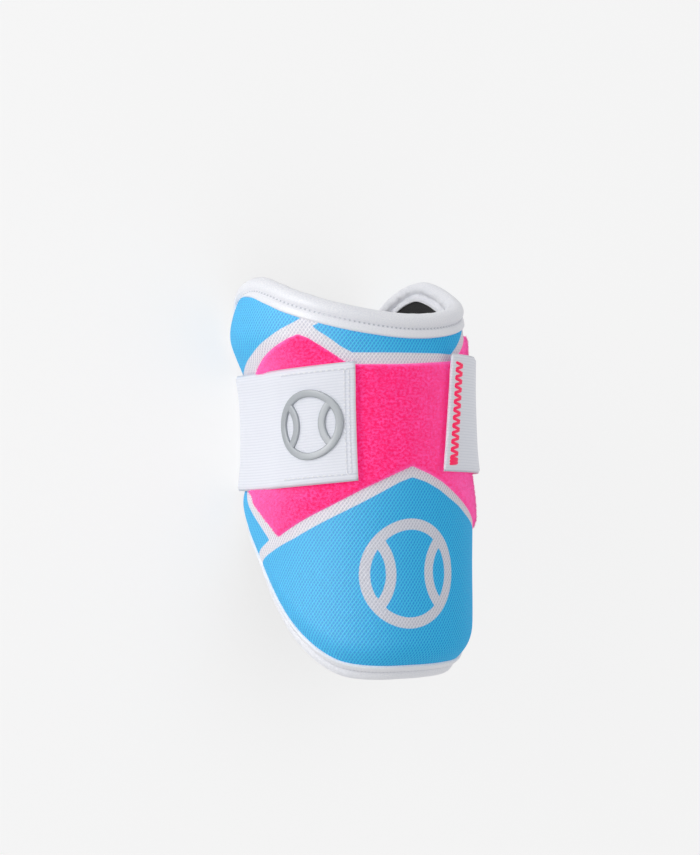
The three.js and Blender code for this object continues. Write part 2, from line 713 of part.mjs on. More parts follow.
// The origin is under the middle of the part, on the surface that it lies on
const box = new THREE.Box3().setFromObject(guard);
const centre = box.getCenter(new THREE.Vector3());
guard.position.set(-centre.x, -centre.y, -box.min.z);

export default guard;
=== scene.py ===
"""Baseball elbow guard: the looks of each piece, built over the packed frame and laid out as an add-on.

Every surface is worked out in millimetres about the arm's axis, where y is 0 at the pad's lower end, and is
then placed in the frame. The flat coordinates of the shell are s, the way round the arm from the nose towards
the left flap, and y, the way up the arm.
"""

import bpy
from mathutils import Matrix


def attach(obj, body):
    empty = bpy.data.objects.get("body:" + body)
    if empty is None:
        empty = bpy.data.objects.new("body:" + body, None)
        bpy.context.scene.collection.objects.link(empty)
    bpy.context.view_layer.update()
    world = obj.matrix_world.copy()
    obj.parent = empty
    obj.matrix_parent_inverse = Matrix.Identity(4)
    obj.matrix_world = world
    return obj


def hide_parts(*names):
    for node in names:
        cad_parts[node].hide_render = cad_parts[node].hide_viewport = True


bl_info = {
    "name": "Baseball Elbow Guard",
    "version": (1, 0, 0),
    "blender": (4, 5, 0),
    "location": "3D View > Sidebar > Elbow Guard",
    "description": "Builds the shell, binding, loop panel, strap and stitching of a baseball elbow guard",
    "category": "Object",
}

import math

import bmesh
import bpy
import numpy as np
from mathutils import Matrix, Vector

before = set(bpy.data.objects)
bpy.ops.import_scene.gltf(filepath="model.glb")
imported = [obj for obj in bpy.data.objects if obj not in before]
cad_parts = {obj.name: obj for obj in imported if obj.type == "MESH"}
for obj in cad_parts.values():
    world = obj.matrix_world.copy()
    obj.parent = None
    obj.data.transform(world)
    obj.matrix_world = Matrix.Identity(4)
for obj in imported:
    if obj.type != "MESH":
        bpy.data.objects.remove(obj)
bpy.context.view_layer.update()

# Place of the arm's axis in the frame, at the height of the pad's lower end, in millimetres
ARM_AXIS = np.array([-1.6542, -80.1069, 34.0])

# Shell, in millimetres, as in the part
SHELL_LENGTH = 162.0
NOSE_DEPTH = 48.5
HALF_WIDTH = 48.0
SQUARENESS = 2.25
FLAP_WRAP = math.radians(129)
PAD_THICKNESS = 8.5
EDGE_THICKNESS = 4.5
CURL_DEPTH = 10.0
CURL_ZONE = 14.0
FLAT_RADIUS = (NOSE_DEPTH + HALF_WIDTH) / 2
SEAT_GAP = 0.3
LINING_THICKNESS = 1.0
LINING_START = 3.9

# Heights over the shell's outer face
PANEL_BASE = -0.2
PANEL_FACE = 1.6
HOOK_BASE = 2.35
HOOK_FACE = 3.25
STRAP_OVER_PANEL = 2.05
STRAP_OVER_HOOK = 3.55

# Strap
STRAP_WIDTH = 49.2
STRAP_THICKNESS = 1.6
STRAP_HEIGHT = 104.5
STRAP_RISE = 3.4
STRAP_DIP = 6.5
STRAP_TWIST = 1.9
SEAM_HALF = 21.6
SEAM_LENGTH = 33.0
SEAM_ENDS = (2.4, 4.1)
WIDE_END = math.radians(31.9)
WIDE_SKEW = 0.00063  # how much further back the wide end reaches for each millimetre up it
PLAIN_END = math.radians(15)
PLAIN_SKEW = 0.0019  # how much further back the plain end reaches for each millimetre up it
BACK_DEPTH = 34.0
BACK_FILLET = 16.0
HOOK_INSET = 2.5
HOOK_WIDE = (32.0, 43.5)
HOOK_PLAIN = (22.0, 43.5)
STRAP_CALM = (82.0, 0.5, 119.0, 0.35)  # below and above these heights it follows a share of the flare

# Sections: height as a share of SHELL_LENGTH, then shares of NOSE_DEPTH and of HALF_WIDTH left and right
SECTIONS = np.array(
    [
        (-0.105, 0.969, 0.9, 1.063),
        (-0.043, 0.99, 0.9, 1.079),
        (0.111, 1.016, 0.885, 1.092),
        (0.265, 1.002, 0.885, 1.096),
        (0.36, 1.0, 0.905, 1.1),
        (0.43, 0.998, 0.92, 1.088),
        (0.5, 0.998, 0.848, 1.042),
        (0.56, 0.999, 0.832, 1.008),
        (0.636, 1.0, 0.835, 0.988),
        (0.72, 1.0, 0.862, 0.976),
        (0.76, 0.999, 0.91, 0.98),
        (0.8, 0.998, 0.98, 0.984),
        (0.85, 0.995, 1.055, 0.98),
        (0.9, 0.993, 1.065, 0.965),
        (1.02, 0.986, 1.027, 0.9),
        (1.1, 0.986, 1.027, 0.9),
    ]
)

# Half of the shell's edge from the middle of the rim over the flap to the middle of the lower end: shares of
# FLAP_WRAP, SHELL_LENGTH and CURL_DEPTH. EDGE_CORNERS are the rows where a run ends.
EDGE_ROWS = np.array(
    [
        (0.0, 0.892, 0.12),
        (0.101, 0.895, 0.12),
        (0.24, 0.908, 0.12),
        (0.367, 0.928, 0.12),
        (0.51, 0.957, 0.13),
        (0.596, 0.977, 0.15),
        (0.69, 0.991, 0.18),
        (0.76, 0.987, 0.22),
        (0.83, 0.974, 0.27),
        (0.9, 0.95, 0.35),
        (0.955, 0.913, 0.42),
        (0.99, 0.863, 0.5),
        (1.01, 0.79, 0.56),
        (1.02, 0.7, 0.59),
        (1.02, 0.6, 0.6),
        (1.018, 0.5, 0.62),
        (1.005, 0.43, 0.63),
        (0.975, 0.375, 0.64),
        (0.93, 0.327, 0.64),
        (0.875, 0.289, 0.65),
        (0.815, 0.248, 0.65),
        (0.76, 0.208, 0.66),
        (0.705, 0.17, 0.68),
        (0.645, 0.133, 0.7),
        (0.581, 0.098, 0.73),
        (0.506, 0.063, 0.79),
        (0.42, 0.03, 0.88),
        (0.33, 0.006, 0.96),
        (0.2, -0.007, 1.0),
        (0.0, -0.011, 1.0),
    ]
)
EDGE_CORNERS = (10, 23)

# How much lower some of the rows run on the right
EDGE_DROPS = {23: 0.004, 24: 0.01, 25: 0.016, 26: 0.017, 27: 0.012, 28: 0.004}

# Outlines of the printed blue panels and of the loop panel: degrees round the arm, millimetres up it
BLUE_SIDE = [
    (150, 106), (118, 122.7), (102, 128.9), (93, 132.2), (85, 135.5), (77, 138.8), (70, 142), (62, 145.2),
    (58.5, 147), (57.5, 149), (57, 180), (150, 180),
]
BLUE_TOP = [
    (50, 180), (50, 144.6), (53, 143.6), (51, 142), (45, 138.6), (40, 135.3), (34.5, 132.6), (26, 132.6),
    (10, 132.6), (-15, 132.4), (-24, 132), (-31, 135.7), (-37, 139.3), (-44, 143), (-45, 180),
]
BLUE_LOWER_SIDE = [
    (150, 92), (122, 79), (113, 74.5), (106, 67.9), (97, 61.4), (86.5, 54.2), (96, 50), (110, 43), (150, 25),
]
BLUE_FRONT = [
    (150, 16), (110, 39), (89, 47.8), (77, 52), (66, 55.6), (49, 62.6), (33, 69.3), (18, 75.8), (10, 79.1),
    (3, 81), (-6, 78.8), (-15, 75.3), (-22, 71.8), (-30, 68.2), (-38, 64), (-50, 59), (-64, 53.5),
    (-78, 48.5), (-104, 38), (-150, 16), (-150, -40), (150, -40),
]
PANEL_TOP = [
    (120, 113), (104, 121.3), (88, 128.9), (81, 132.1), (73, 135.4), (65, 138.6), (60, 140.2), (55, 138.6),
    (49, 135.3), (43, 131.9), (39, 129.5), (36, 128.2), (32, 127.8), (10, 127.9), (-15, 128.8), (-24, 129.2),
    (-30, 131), (-38, 134.6), (-46, 138.2), (-53, 140.6), (-60, 139), (-72, 134), (-88, 127), (-104, 120),
    (-120, 113),
]
PANEL_BOTTOM = [
    (120, 79.5), (110, 74.6), (102, 71.4), (98, 68.2), (92, 65), (87, 61.7), (82, 58.5), (78, 55.7),
    (62, 62.4), (45, 69.3), (30, 75.9), (13, 82.4), (3, 85.6), (-8, 82.1), (-17, 78.6), (-24, 75.1),
    (-31, 71.5), (-38, 67.9), (-48, 63), (-60, 58.2), (-72, 54), (-78, 57.5), (-88, 63.5), (-98, 69.5),
    (-120, 79.5),
]
RIGHT_MIRROR = 6.0  # the right flap's print mirrors the left flap's about half this angle, in degrees
MOTIF_MIDDLE = (4, 41.0)  # degrees round the arm, millimetres up it

# Tape: heights over the pad, the rounding of its cut edges and the place and width of its corner cut
ROLL_HEIGHT = 2.6
ROLL_LOWEST = 0.9
OUTER_LEG_HEIGHT = 1.2
INNER_LEG_HEIGHT = 1.55
INNER_LEG_ROUND = 0.7
LEG_ROUNDING = 0.8
TAPE_LOWEST = 0.14
CORNER_PLACE = np.array([0.88, 0.955])
CORNER_SPREAD = 17

# Tape's seams: depth and width of their grooves, and how much deeper the outer one is at a stitch
OUTER_GROOVE, OUTER_DIP, OUTER_GROOVE_WIDTH = 0.72, 0.25, 0.6
INNER_GROOVE, INNER_GROOVE_WIDTH = 1.1, 0.7

# Tape's puckers by the inner seam and its pull by the outer one: distance, width and two heights
PUCKER_PLACE, PUCKER_WIDTH, PUCKER_FINE, PUCKER_COARSE = 1.3, 1.7, 0.75, 0.15
PULL_PLACE, PULL_WIDTH, PULL_DEPTH, PULL_WAVE = 1.0, 1.1, 0.12, 0.05

# Pile: rounding at the panel's border, how deep the fibres start in it, and their mean lean in the flat
PILE_ROUNDING = 2.2
FIBRE_SINK = 0.15
FIBRE_LEAN = np.array([0.3, -0.5])

# Emblem on the strap: its middle, along from the wide end and up from the middle line, and its rise
EMBLEM_MIDDLE = np.array([19.0, 0.0])
EMBLEM_RISE = 1.2
EMBLEM_SEAM_RISE = 1.15

# Stitches on the strap: the pitch of the white ones, and the zigzag's start, end and count of turns
STRAP_STITCH_PITCH = 2.3
ZIGZAG_ALONG = (1.2, 8.2)
ZIGZAG_ACROSS = ((21.2, -18.8, 25), (-19.6, -21.6, 4))

# Shares of the way round at which the strap leaves the left side, reaches the back, leaves it and reaches
# the right side, and the steps along the left side, each fillet, the back and the right side
WAY_SHARES = (14 / 49, 19 / 49, 24 / 49, 29 / 49)
WAY_STEPS = (110, 26, 40, 150)

# Camera: radians and millimetres measured on the photograph's frame
VIEW_TURN = math.radians(36)
VIEW_TILT = math.radians(0.8)
VIEW_DISTANCE = 1200.0
VIEW_OFFSET = (0.5, 101.0)
FOCAL_LENGTH = 117.5

# Lights: name, setting, size in metres, and place as metres to the camera's right, up and back
LIGHTS = (
    ("key_light", "key", 0.9, (-0.75, 0.35, 0.75)),
    ("fill_light", "fill", 1.2, (0.9, 0.1, 0.6)),
    ("gloss_light", "gloss", 0.5, (-0.72, 0.25, 0.62)),
)
LIGHT_AIM = Vector((0, 0, 0.045))
FLOOR_REACH = 6.0


def smooth_column(rows, values, x):
    """Smooth curve through table rows: a cubic between rows whose slope at each row is that of the line
    through its neighbours."""
    slopes = np.gradient(values)
    slopes[1:-1] = (values[2:] - values[:-2]) / (rows[2:] - rows[:-2])
    slopes[0] = (values[1] - values[0]) / (rows[1] - rows[0])
    slopes[-1] = (values[-1] - values[-2]) / (rows[-1] - rows[-2])
    i = np.clip(np.searchsorted(rows, x, side="right") - 1, 0, len(rows) - 2)
    span = rows[i + 1] - rows[i]
    t = np.clip((x - rows[i]) / span, 0, 1)
    rise = values[i + 1] - values[i]
    start, end = slopes[i] * span, slopes[i + 1] * span
    return values[i] + t * (start + t * (3 * rise - 2 * start - end + t * (start + end - 2 * rise)))


def face_point(s, y):
    """Outer face before its edge turns in: at the angle s / FLAT_RADIUS from the nose, the radius of a
    superellipse whose two half axes change with the height y and differ left and right."""
    angle = s / FLAT_RADIUS
    share = y / SHELL_LENGTH
    rows = SECTIONS[:, 0]
    nose = NOSE_DEPTH * smooth_column(rows, SECTIONS[:, 1], share)
    left = smooth_column(rows, SECTIONS[:, 2], share)
    right = smooth_column(rows, SECTIONS[:, 3], share)
    width = HALF_WIDTH * np.where(angle > 0, left, right)
    reach = np.abs(np.cos(angle) / nose) ** SQUARENESS + np.abs(np.sin(angle) / width) ** SQUARENESS
    radius = reach ** (-1 / SQUARENESS)
    return np.stack([-radius * np.sin(angle), y + 0 * radius, radius * np.cos(angle)], axis=-1)


def way_along(points):
    """Length of the way to each point of a path from its first."""
    return np.concatenate([[0], np.cumsum(np.linalg.norm(np.diff(points, axis=0), axis=1))])


def unit(vectors):
    """Vectors over their lengths."""
    return vectors / np.maximum(np.linalg.norm(vectors, axis=-1, keepdims=True), 1e-12)


def face_normal(s, y):
    """Outward normal of the outer face: the cross product of its rise up the arm and its run round it."""
    step = 0.05
    run = face_point(s + step, y) - face_point(s - step, y)
    rise = face_point(s, y + step) - face_point(s, y - step)
    return unit(np.cross(rise, run))


def closed_curve(points, t):
    """Centripetal Catmull-Rom curve through a closed loop of points, at parameters t from 0 to 1: between two
    points, the cubic whose end slopes weigh the neighbouring chords by the square roots of their lengths."""
    count = len(points)
    place = np.mod(t, 1) * count
    i = np.floor(place).astype(int) % count
    w = (place - np.floor(place))[:, None]
    p0, p1, p2, p3 = (points[(i + k) % count] for k in (-1, 0, 1, 2))
    d0, d1, d2 = (np.linalg.norm(b - a, axis=1)[:, None] ** 0.5 for a, b in ((p0, p1), (p1, p2), (p2, p3)))
    start = ((p1 - p0) / d0 - (p2 - p0) / (d0 + d1) + (p2 - p1) / d1) * d1
    end = ((p2 - p1) / d1 - (p3 - p1) / (d1 + d2) + (p3 - p2) / d2) * d1
    rise = p2 - p1
    return p1 + w * (start + w * (3 * rise - 2 * start - end + w * (start + end - 2 * rise)))


def edge_ring(across, along):
    """The shell's edge as a closed run of (s, y, curl), evenly spaced by length in each of its four runs:
    down the left flap, along the lower end, up the right flap and along the rim."""
    scale = np.array([FLAP_WRAP * FLAT_RADIUS, SHELL_LENGTH, 1.0])
    half = EDGE_ROWS * scale
    right = half * np.array([-1, 1, 1])
    for row, drop in EDGE_DROPS.items():
        right[row, 1] -= drop * SHELL_LENGTH
    loop = np.concatenate([half, right[-2:0:-1]])
    total = len(loop)
    stops = [EDGE_CORNERS[0], EDGE_CORNERS[1], total - EDGE_CORNERS[1], total - EDGE_CORNERS[0]]
    stops.append(stops[0] + total)
    runs = []
    for count, first, last in zip((along, across, along, across), stops[:-1], stops[1:]):
        t = np.linspace(first / total, last / total, 40 * count + 1)
        fine = closed_curve(loop, t)
        length = way_along(fine)
        even = np.linspace(0, length[-1], count + 1)[:-1]
        runs.append(np.stack([np.interp(even, length, column) for column in fine.T], axis=1))
    return np.concatenate(runs)


def inward(ring):
    """Unit directions in the flat that point into the shell at each edge point."""
    along = np.roll(ring[:, :2], -1, axis=0) - np.roll(ring[:, :2], 1, axis=0)
    return unit(np.stack([along[:, 1], -along[:, 0]], axis=1))


def curl_drop(distance, curl):
    """How far the outer face has turned in: the square of the share of CURL_ZONE that is left to the edge."""
    return CURL_DEPTH * curl * np.clip(1 - distance / CURL_ZONE, 0, None) ** 2


def edge_profile(curl):
    """The pad's cross-section at its edge for one curl: columns arc, out, up and the normal's out and up. It
    follows the outer face down its curl, goes round a half circle and back along the inner face."""
    share = np.linspace(0, 1, 60)
    slope = 2 * CURL_DEPTH * curl * share / CURL_ZONE
    outer = np.stack([-CURL_ZONE * (1 - share), -CURL_DEPTH * curl * share**2], axis=1)
    normal = unit(np.stack([slope, np.ones_like(slope)], axis=1))
    thickness = PAD_THICKNESS - (PAD_THICKNESS - EDGE_THICKNESS) * share**2
    inner = outer - normal * thickness[:, None]
    turn = -np.radians(np.arange(5, 180, 5))
    cos, sin = np.cos(turn), np.sin(turn)
    last = normal[-1]
    round_normal = np.stack([last[0] * cos - last[1] * sin, last[0] * sin + last[1] * cos], axis=1)
    tip = outer[-1] - last * EDGE_THICKNESS / 2 + round_normal * EDGE_THICKNESS / 2
    at = np.concatenate([outer, tip, inner[::-1]])
    normals = np.concatenate([normal, round_normal, -normal[::-1]])
    arc = way_along(at)
    middle = np.interp((len(at) - 1) / 2, np.arange(len(at)), arc)
    return np.column_stack([arc - middle, at, normals])


def edge_lookup():
    """The cross-sections for 33 curls from 0 to 1, each read at 401 places that are even shares of the way
    from the tip to the outer end (first half) and to the inner end (second half), with both end lengths."""
    table, ends = [], []
    for curl in np.linspace(0, 1, 33):
        profile = edge_profile(curl)
        outer_end, inner_end = -profile[0, 0], profile[-1, 0]
        share = np.linspace(-1, 1, 401)
        arcs = np.where(share < 0, share * outer_end, share * inner_end)
        table.append(np.stack([np.interp(arcs, profile[:, 0], profile[:, k]) for k in range(1, 5)], axis=1))
        ends.append((outer_end, inner_end))
    return np.array(table), np.array(ends)


EDGE_SECTIONS, EDGE_ENDS = edge_lookup()


def edge_ends(ring):
    """Arc lengths from the tip to the outer and to the inner end of the cross-section at each edge point."""
    place = np.clip(ring[:, 2], 0, 1) * (len(EDGE_ENDS) - 1)
    return np.stack([np.interp(place, np.arange(len(EDGE_ENDS)), column) for column in EDGE_ENDS.T], axis=1)


def edge_band(ring, arcs, lift):
    """Grid of points round the edge (rows) at arc lengths of its cross-section (columns, negative outside),
    lifted off the pad, with the flat coordinates under them."""
    ends = edge_ends(ring)
    arcs = np.broadcast_to(arcs, (len(ring), np.shape(arcs)[-1]))
    share = np.where(arcs < 0, arcs / ends[:, :1], arcs / ends[:, 1:])
    row = np.clip(ring[:, 2], 0, 1)[:, None] * (len(EDGE_SECTIONS) - 1)
    column = (np.clip(share, -1, 1) + 1) / 2 * (EDGE_SECTIONS.shape[1] - 1)
    i = np.minimum(row.astype(int), len(EDGE_SECTIONS) - 2)
    j = np.minimum(column.astype(int), EDGE_SECTIONS.shape[1] - 2)
    u, v = (row - i)[..., None], (column - j)[..., None]
    first = (1 - v) * EDGE_SECTIONS[i, j] + v * EDGE_SECTIONS[i, j + 1]
    second = (1 - v) * EDGE_SECTIONS[i + 1, j] + v * EDGE_SECTIONS[i + 1, j + 1]
    values = (1 - u) * first + u * second
    normal = unit(values[..., 2:4])
    at = values[..., :2] + normal * np.broadcast_to(lift, arcs.shape)[..., None]
    out, up = at[..., 0], at[..., 1]
    direction = inward(ring)
    s = ring[:, None, 0] + direction[:, None, 0] * np.maximum(-out, 0)
    y = ring[:, None, 1] + direction[:, None, 1] * np.maximum(-out, 0)
    point = face_point(s, y)
    inside = face_point(ring[:, 0] + direction[:, 0], ring[:, 1] + direction[:, 1])
    outwards = unit(face_point(ring[:, 0], ring[:, 1]) - inside)[:, None, :]
    co = point + face_normal(s, y) * up[..., None] + outwards * np.maximum(out, 0)[..., None]
    flat_s = ring[:, None, 0] - direction[:, None, 0] * out
    flat_y = ring[:, None, 1] - direction[:, None, 1] * out
    return co, np.stack([flat_s, flat_y], axis=-1)


def fill_grid(ring, across, along, depth):
    """Grid that fills what the turned edge encloses: the blend of its four runs (sides plus ends less the
    corners' bilinear patch), at a depth under the outer face."""
    flat = ring[:, :2] + inward(ring) * CURL_ZONE
    count = len(flat)
    i = np.arange(along + 1)
    j = np.arange(across + 1)
    left, right = flat[i], flat[(2 * along + across - i) % count]
    top, bottom = flat[-j % count], flat[(along + j) % count]
    u = (j / across)[None, :, None]
    v = (i / along)[:, None, None]
    sides = left[:, None] * (1 - u) + right[:, None] * u
    ends = top[None] * (1 - v) + bottom[None] * v
    corners = (left[0] * (1 - u) + right[0] * u) * (1 - v) + (left[-1] * (1 - u) + right[-1] * u) * v
    p = sides + ends - corners
    s, y = p[..., 0], p[..., 1]
    co = face_point(s, y) - face_normal(s, y) * depth
    return co, p


def near_edge(flat, ring):
    """Distance of flat points from the edge, and the curl of the nearest edge point."""
    best = np.full(len(flat), np.inf)
    curl = np.zeros(len(flat))
    for chunk in np.array_split(np.arange(len(flat)), max(1, len(flat) // 4000)):
        gap = np.linalg.norm(flat[chunk, None, :] - ring[None, :, :2], axis=2)
        nearest = gap.argmin(axis=1)
        best[chunk] = gap[np.arange(len(chunk)), nearest]
        curl[chunk] = ring[nearest, 2]
    return best, curl


def over_shell(flat, lift):
    """Points at a height over the shell's outer face, its turned edge included."""
    shape = flat.shape[:-1]
    distance, curl = near_edge(flat.reshape(-1, 2), edge_ring(200, 130))
    drop = curl_drop(distance, curl).reshape(shape)
    s, y = flat[..., 0], flat[..., 1]
    return face_point(s, y) + face_normal(s, y) * (lift - drop)[..., None]


def outline(rows):
    """An outline's rows of degrees and millimetres as flat coordinates."""
    points = np.array(rows, float)
    return np.stack([np.radians(points[:, 0]) * FLAT_RADIUS, points[:, 1]], axis=1)


def mirrored(rows):
    """The same outline on the right flap."""
    return [(RIGHT_MIRROR - degrees, height) for degrees, height in rows]


def side_of(flat, polygon):
    """Signed distance of flat points to a polygon, positive inside: the least distance to its edges, with the
    sign of an odd number of edges crossed to the right."""
    x, y = flat[..., 0], flat[..., 1]
    nearest = np.full(x.shape, np.inf)
    inside = np.zeros(x.shape, bool)
    for a, b in zip(polygon, np.roll(polygon, -1, axis=0)):
        run = b - a
        t = np.clip(((x - a[0]) * run[0] + (y - a[1]) * run[1]) / (run @ run), 0, 1)
        nearest = np.minimum(nearest, np.hypot(x - a[0] - t * run[0], y - a[1] - t * run[1]))
        crosses = (a[1] > y) != (b[1] > y)
        rise = np.where(b[1] == a[1], 1e-9, b[1] - a[1])
        inside ^= crosses & (x < a[0] + (y - a[1]) * run[0] / rise)
    return np.where(inside, nearest, -nearest)


def blue_side(flat):
    """How far a flat point lies inside the nearest printed blue panel, negative outside them all."""
    sides = [BLUE_SIDE, BLUE_LOWER_SIDE]
    panels = [*sides, BLUE_TOP, BLUE_FRONT, *(mirrored(rows) for rows in sides)]
    return np.max([side_of(flat, outline(rows)) for rows in panels], axis=0)


def ball_side(x, y, radius, line):
    """How far a point lies inside the lines of a plain ball: a ring, and two seams that are arcs about points
    beside it, kept inside the ring."""
    ring = line / 2 - np.abs(np.hypot(x, y) - radius)
    seam_radius, beside = 0.95 * radius, 1.4 * radius
    seams = [line / 2 - np.abs(np.hypot(x - side * beside, y) - seam_radius) for side in (-1, 1)]
    within = radius - np.hypot(x, y)
    return np.maximum(ring, np.minimum(np.maximum(*seams), within))


def grid_faces(rows, cols, close_rows=False):
    """Quads of a grid of points stored row by row, its last row joined to its first if close_rows."""
    i = np.arange(rows if close_rows else rows - 1)[:, None]
    j = np.arange(cols - 1)[None, :]
    a = i * cols + j
    b = (i + 1) % rows * cols + j
    return np.stack([a, b, b + 1, a + 1], axis=-1).reshape(-1, 4)


def patch(co, flat=None, close_rows=False, flip=False):
    """A grid of points with its flat coordinates and its quads."""
    rows, cols = co.shape[:2]
    faces = grid_faces(rows, cols, close_rows)
    if flip:
        faces = faces[:, ::-1]
    if flat is None:
        u = np.linspace(0, 1, rows)[:, None] + np.zeros((1, cols))
        v = np.linspace(0, 1, cols)[None, :] + np.zeros((rows, 1))
        flat = np.stack([u, v], axis=-1)
    return co.reshape(-1, 3), flat.reshape(-1, 2), faces


def build(name, patches, material, shading=None, **columns):
    """One mesh from patches, welded where their points meet and turned to face outwards. The flat coordinates
    become its UV map, in metres, and columns are more numbers for each point, given by functions of them.
    With shading, light falls on each point by the normal given there."""
    co = np.concatenate([p[0] for p in patches])
    flat = np.concatenate([p[1] for p in patches])
    starts = np.cumsum([0] + [len(p[0]) for p in patches[:-1]])
    faces = np.concatenate([p[2] + start for p, start in zip(patches, starts)])
    _, first, inverse = np.unique(np.round(co, 4), axis=0, return_index=True, return_inverse=True)
    co, flat, faces = co[first], flat[first], inverse.ravel()[faces]
    a, b, c, d = (co[faces[:, k]] for k in range(4))
    volume = np.sum(a * np.cross(b, c)) + np.sum(a * np.cross(c, d))
    if volume < 0:
        faces = faces[:, ::-1]
    corners = np.sort(faces, axis=1)
    repeats = (corners[:, 1:] == corners[:, :-1]).sum(axis=1)
    triangles = [list(dict.fromkeys(face)) for face in faces[repeats == 1].tolist()]
    mesh = bpy.data.meshes.new(name)
    mesh.from_pydata(((co + ARM_AXIS) * 0.001).tolist(), [], faces[repeats == 0].tolist() + triangles)
    mesh.update()
    loops = np.zeros(len(mesh.loops), np.int32)
    mesh.loops.foreach_get("vertex_index", loops)
    uv = mesh.uv_layers.new(name="flat")
    uv.data.foreach_set("uv", (flat[loops] * 0.001).astype(np.float32).ravel())
    for column, values_of in columns.items():
        attribute = mesh.attributes.new(column, "FLOAT", "POINT")
        attribute.data.foreach_set("value", values_of(flat).astype(np.float32))
    mesh.polygons.foreach_set("use_smooth", np.ones(len(mesh.polygons), bool))
    if shading is not None:
        mesh.normals_split_custom_set_from_vertices(shading[first].tolist())
    mesh.materials.append(material)
    piece = bpy.data.objects.new(name, mesh)
    bpy.context.scene.collection.objects.link(piece)
    return piece


def settle(piece, slot, *nodes):
    """Ties a piece to the guard's one body and hides the solids that it stands for. The slot is not used."""
    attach(piece, "root")
    if nodes:
        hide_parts(*nodes)
    return piece


def quarter_round(share):
    """Height of a quarter circle of radius 1 at a share of the way in from its foot, and 1 beyond it."""
    return np.sqrt(np.clip(1 - (1 - np.clip(share, 0, 1)) ** 2, 0, 1))


def bell(distance, width):
    """Bell curve of height 1 that falls to 1/e at its width."""
    return np.exp(-((distance / width) ** 2))


def waves(length, seed, spacing, count):
    """A seeded smooth random curve of the given number of points: random heights every spacing millimetres,
    joined round the loop by half cosines."""
    knots = max(4, int(length / spacing))
    heights = np.random.default_rng(seed).uniform(-1, 1, knots)
    place = np.linspace(0, knots, count, endpoint=False)
    i = place.astype(int)
    w = 0.5 - 0.5 * np.cos(np.pi * (place - i))
    return heights[i % knots] * (1 - w) + heights[(i + 1) % knots] * w


def beads(centres, along, outward, length, radius, squash=0.75):
    """Thread stitches as one set of patches: each is a capsule, round in section and a little flat, laid at
    its centre. Its radius falls by the root of 1 less the fourth power of the way from its middle to an end,
    and its ends turn down into the cloth by the same power."""
    steps, sides = 6, 7
    t = np.linspace(-1, 1, steps)[:, None]
    turn = np.linspace(0, 2 * np.pi, sides)[None, :]
    size = radius * np.sqrt(np.clip(1 - t**4, 0, 1)) + 0 * turn
    along, outward = unit(along), unit(outward)
    across = unit(np.cross(along, outward))
    shape = (len(centres), steps, sides, 1)
    x = np.broadcast_to((t * length / 2 + 0 * turn)[None, ..., None], shape)
    y = np.broadcast_to((size * np.cos(turn))[None, ..., None], shape)
    z = np.broadcast_to((squash * size * np.sin(turn) - 1.1 * radius * t**4)[None, ..., None], shape)
    axes = [v[:, None, None, :] for v in (along, across, outward)]
    co = centres[:, None, None, :] + x * axes[0] + y * axes[1] + z * axes[2]
    one = grid_faces(steps, sides)
    offsets = (np.arange(len(centres)) * steps * sides)[:, None, None]
    faces = (one[None] + offsets).reshape(-1, 4)
    return co.reshape(-1, 3), np.zeros((len(centres) * steps * sides, 2)), faces


VECTOR = "NodeSocketVector"
NUMBER = "NodeSocketFloat"


class Wiring:
    """Short ways to add and join shader nodes in one tree."""

    def __init__(self, tree):
        self.tree = tree

    def add(self, kind, inputs=None, **values):
        """A node with its properties, and its sockets set to numbers or joined to other sockets."""
        node = self.tree.nodes.new(kind)
        for name, value in values.items():
            setattr(node, name, value)
        self.fill(node, inputs or {})
        return node

    def fill(self, node, inputs):
        """Sets or joins sockets of a node by name."""
        for name, value in inputs.items():
            self.put(node.inputs[name], value)

    def put(self, socket, value):
        """Sets a socket to a number or colour, or joins it to another socket."""
        if isinstance(value, bpy.types.NodeSocket):
            self.tree.links.new(value, socket)
        else:
            socket.default_value = value

    def math(self, operation, *values, clamp=False):
        """One arithmetic step."""
        node = self.add("ShaderNodeMath", operation=operation, use_clamp=clamp)
        for socket, value in zip(node.inputs, values):
            self.put(socket, value)
        return node.outputs[0]

    def smooth(self, value, low, high, to_low=0.0, to_high=1.0):
        """A soft step from to_low to to_high as value passes from low to high."""
        inputs = {"Value": value, "From Min": low, "From Max": high, "To Min": to_low, "To Max": to_high}
        node = self.add("ShaderNodeMapRange", inputs, interpolation_type="SMOOTHSTEP")
        return node.outputs["Result"]

    def mix(self, share, low, high, blend="MIX"):
        """A colour between two colours."""
        node = self.add("ShaderNodeMix", data_type="RGBA", blend_type=blend)
        self.fill(node, {"Factor": share, "A": low, "B": high})
        return node.outputs["Result"]

    def bump(self, height, distance, strength=1.0, normal=None):
        """A normal tilted by a height in metres times distance."""
        inputs = {"Height": height, "Distance": distance, "Strength": strength}
        if normal is not None:
            inputs["Normal"] = normal
        return self.add("ShaderNodeBump", inputs).outputs["Normal"]

    def noise(self, vector, scale, detail=2.0, roughness=0.5):
        """Noise from 0 to 1 at a scale per metre."""
        inputs = {"Vector": vector, "Scale": scale, "Detail": detail, "Roughness": roughness}
        return self.add("ShaderNodeTexNoise", inputs).outputs["Fac"]


def new_group(name, inputs, outputs):
    """An empty shader node group with named sockets, and its inputs and outputs inside."""
    group = bpy.data.node_groups.new(name, "ShaderNodeTree")
    for socket, kind in inputs:
        group.interface.new_socket(name=socket, in_out="INPUT", socket_type=kind)
    for socket, kind in outputs:
        group.interface.new_socket(name=socket, in_out="OUTPUT", socket_type=kind)
    wires = Wiring(group)
    return group, wires, wires.add("NodeGroupInput"), wires.add("NodeGroupOutput")


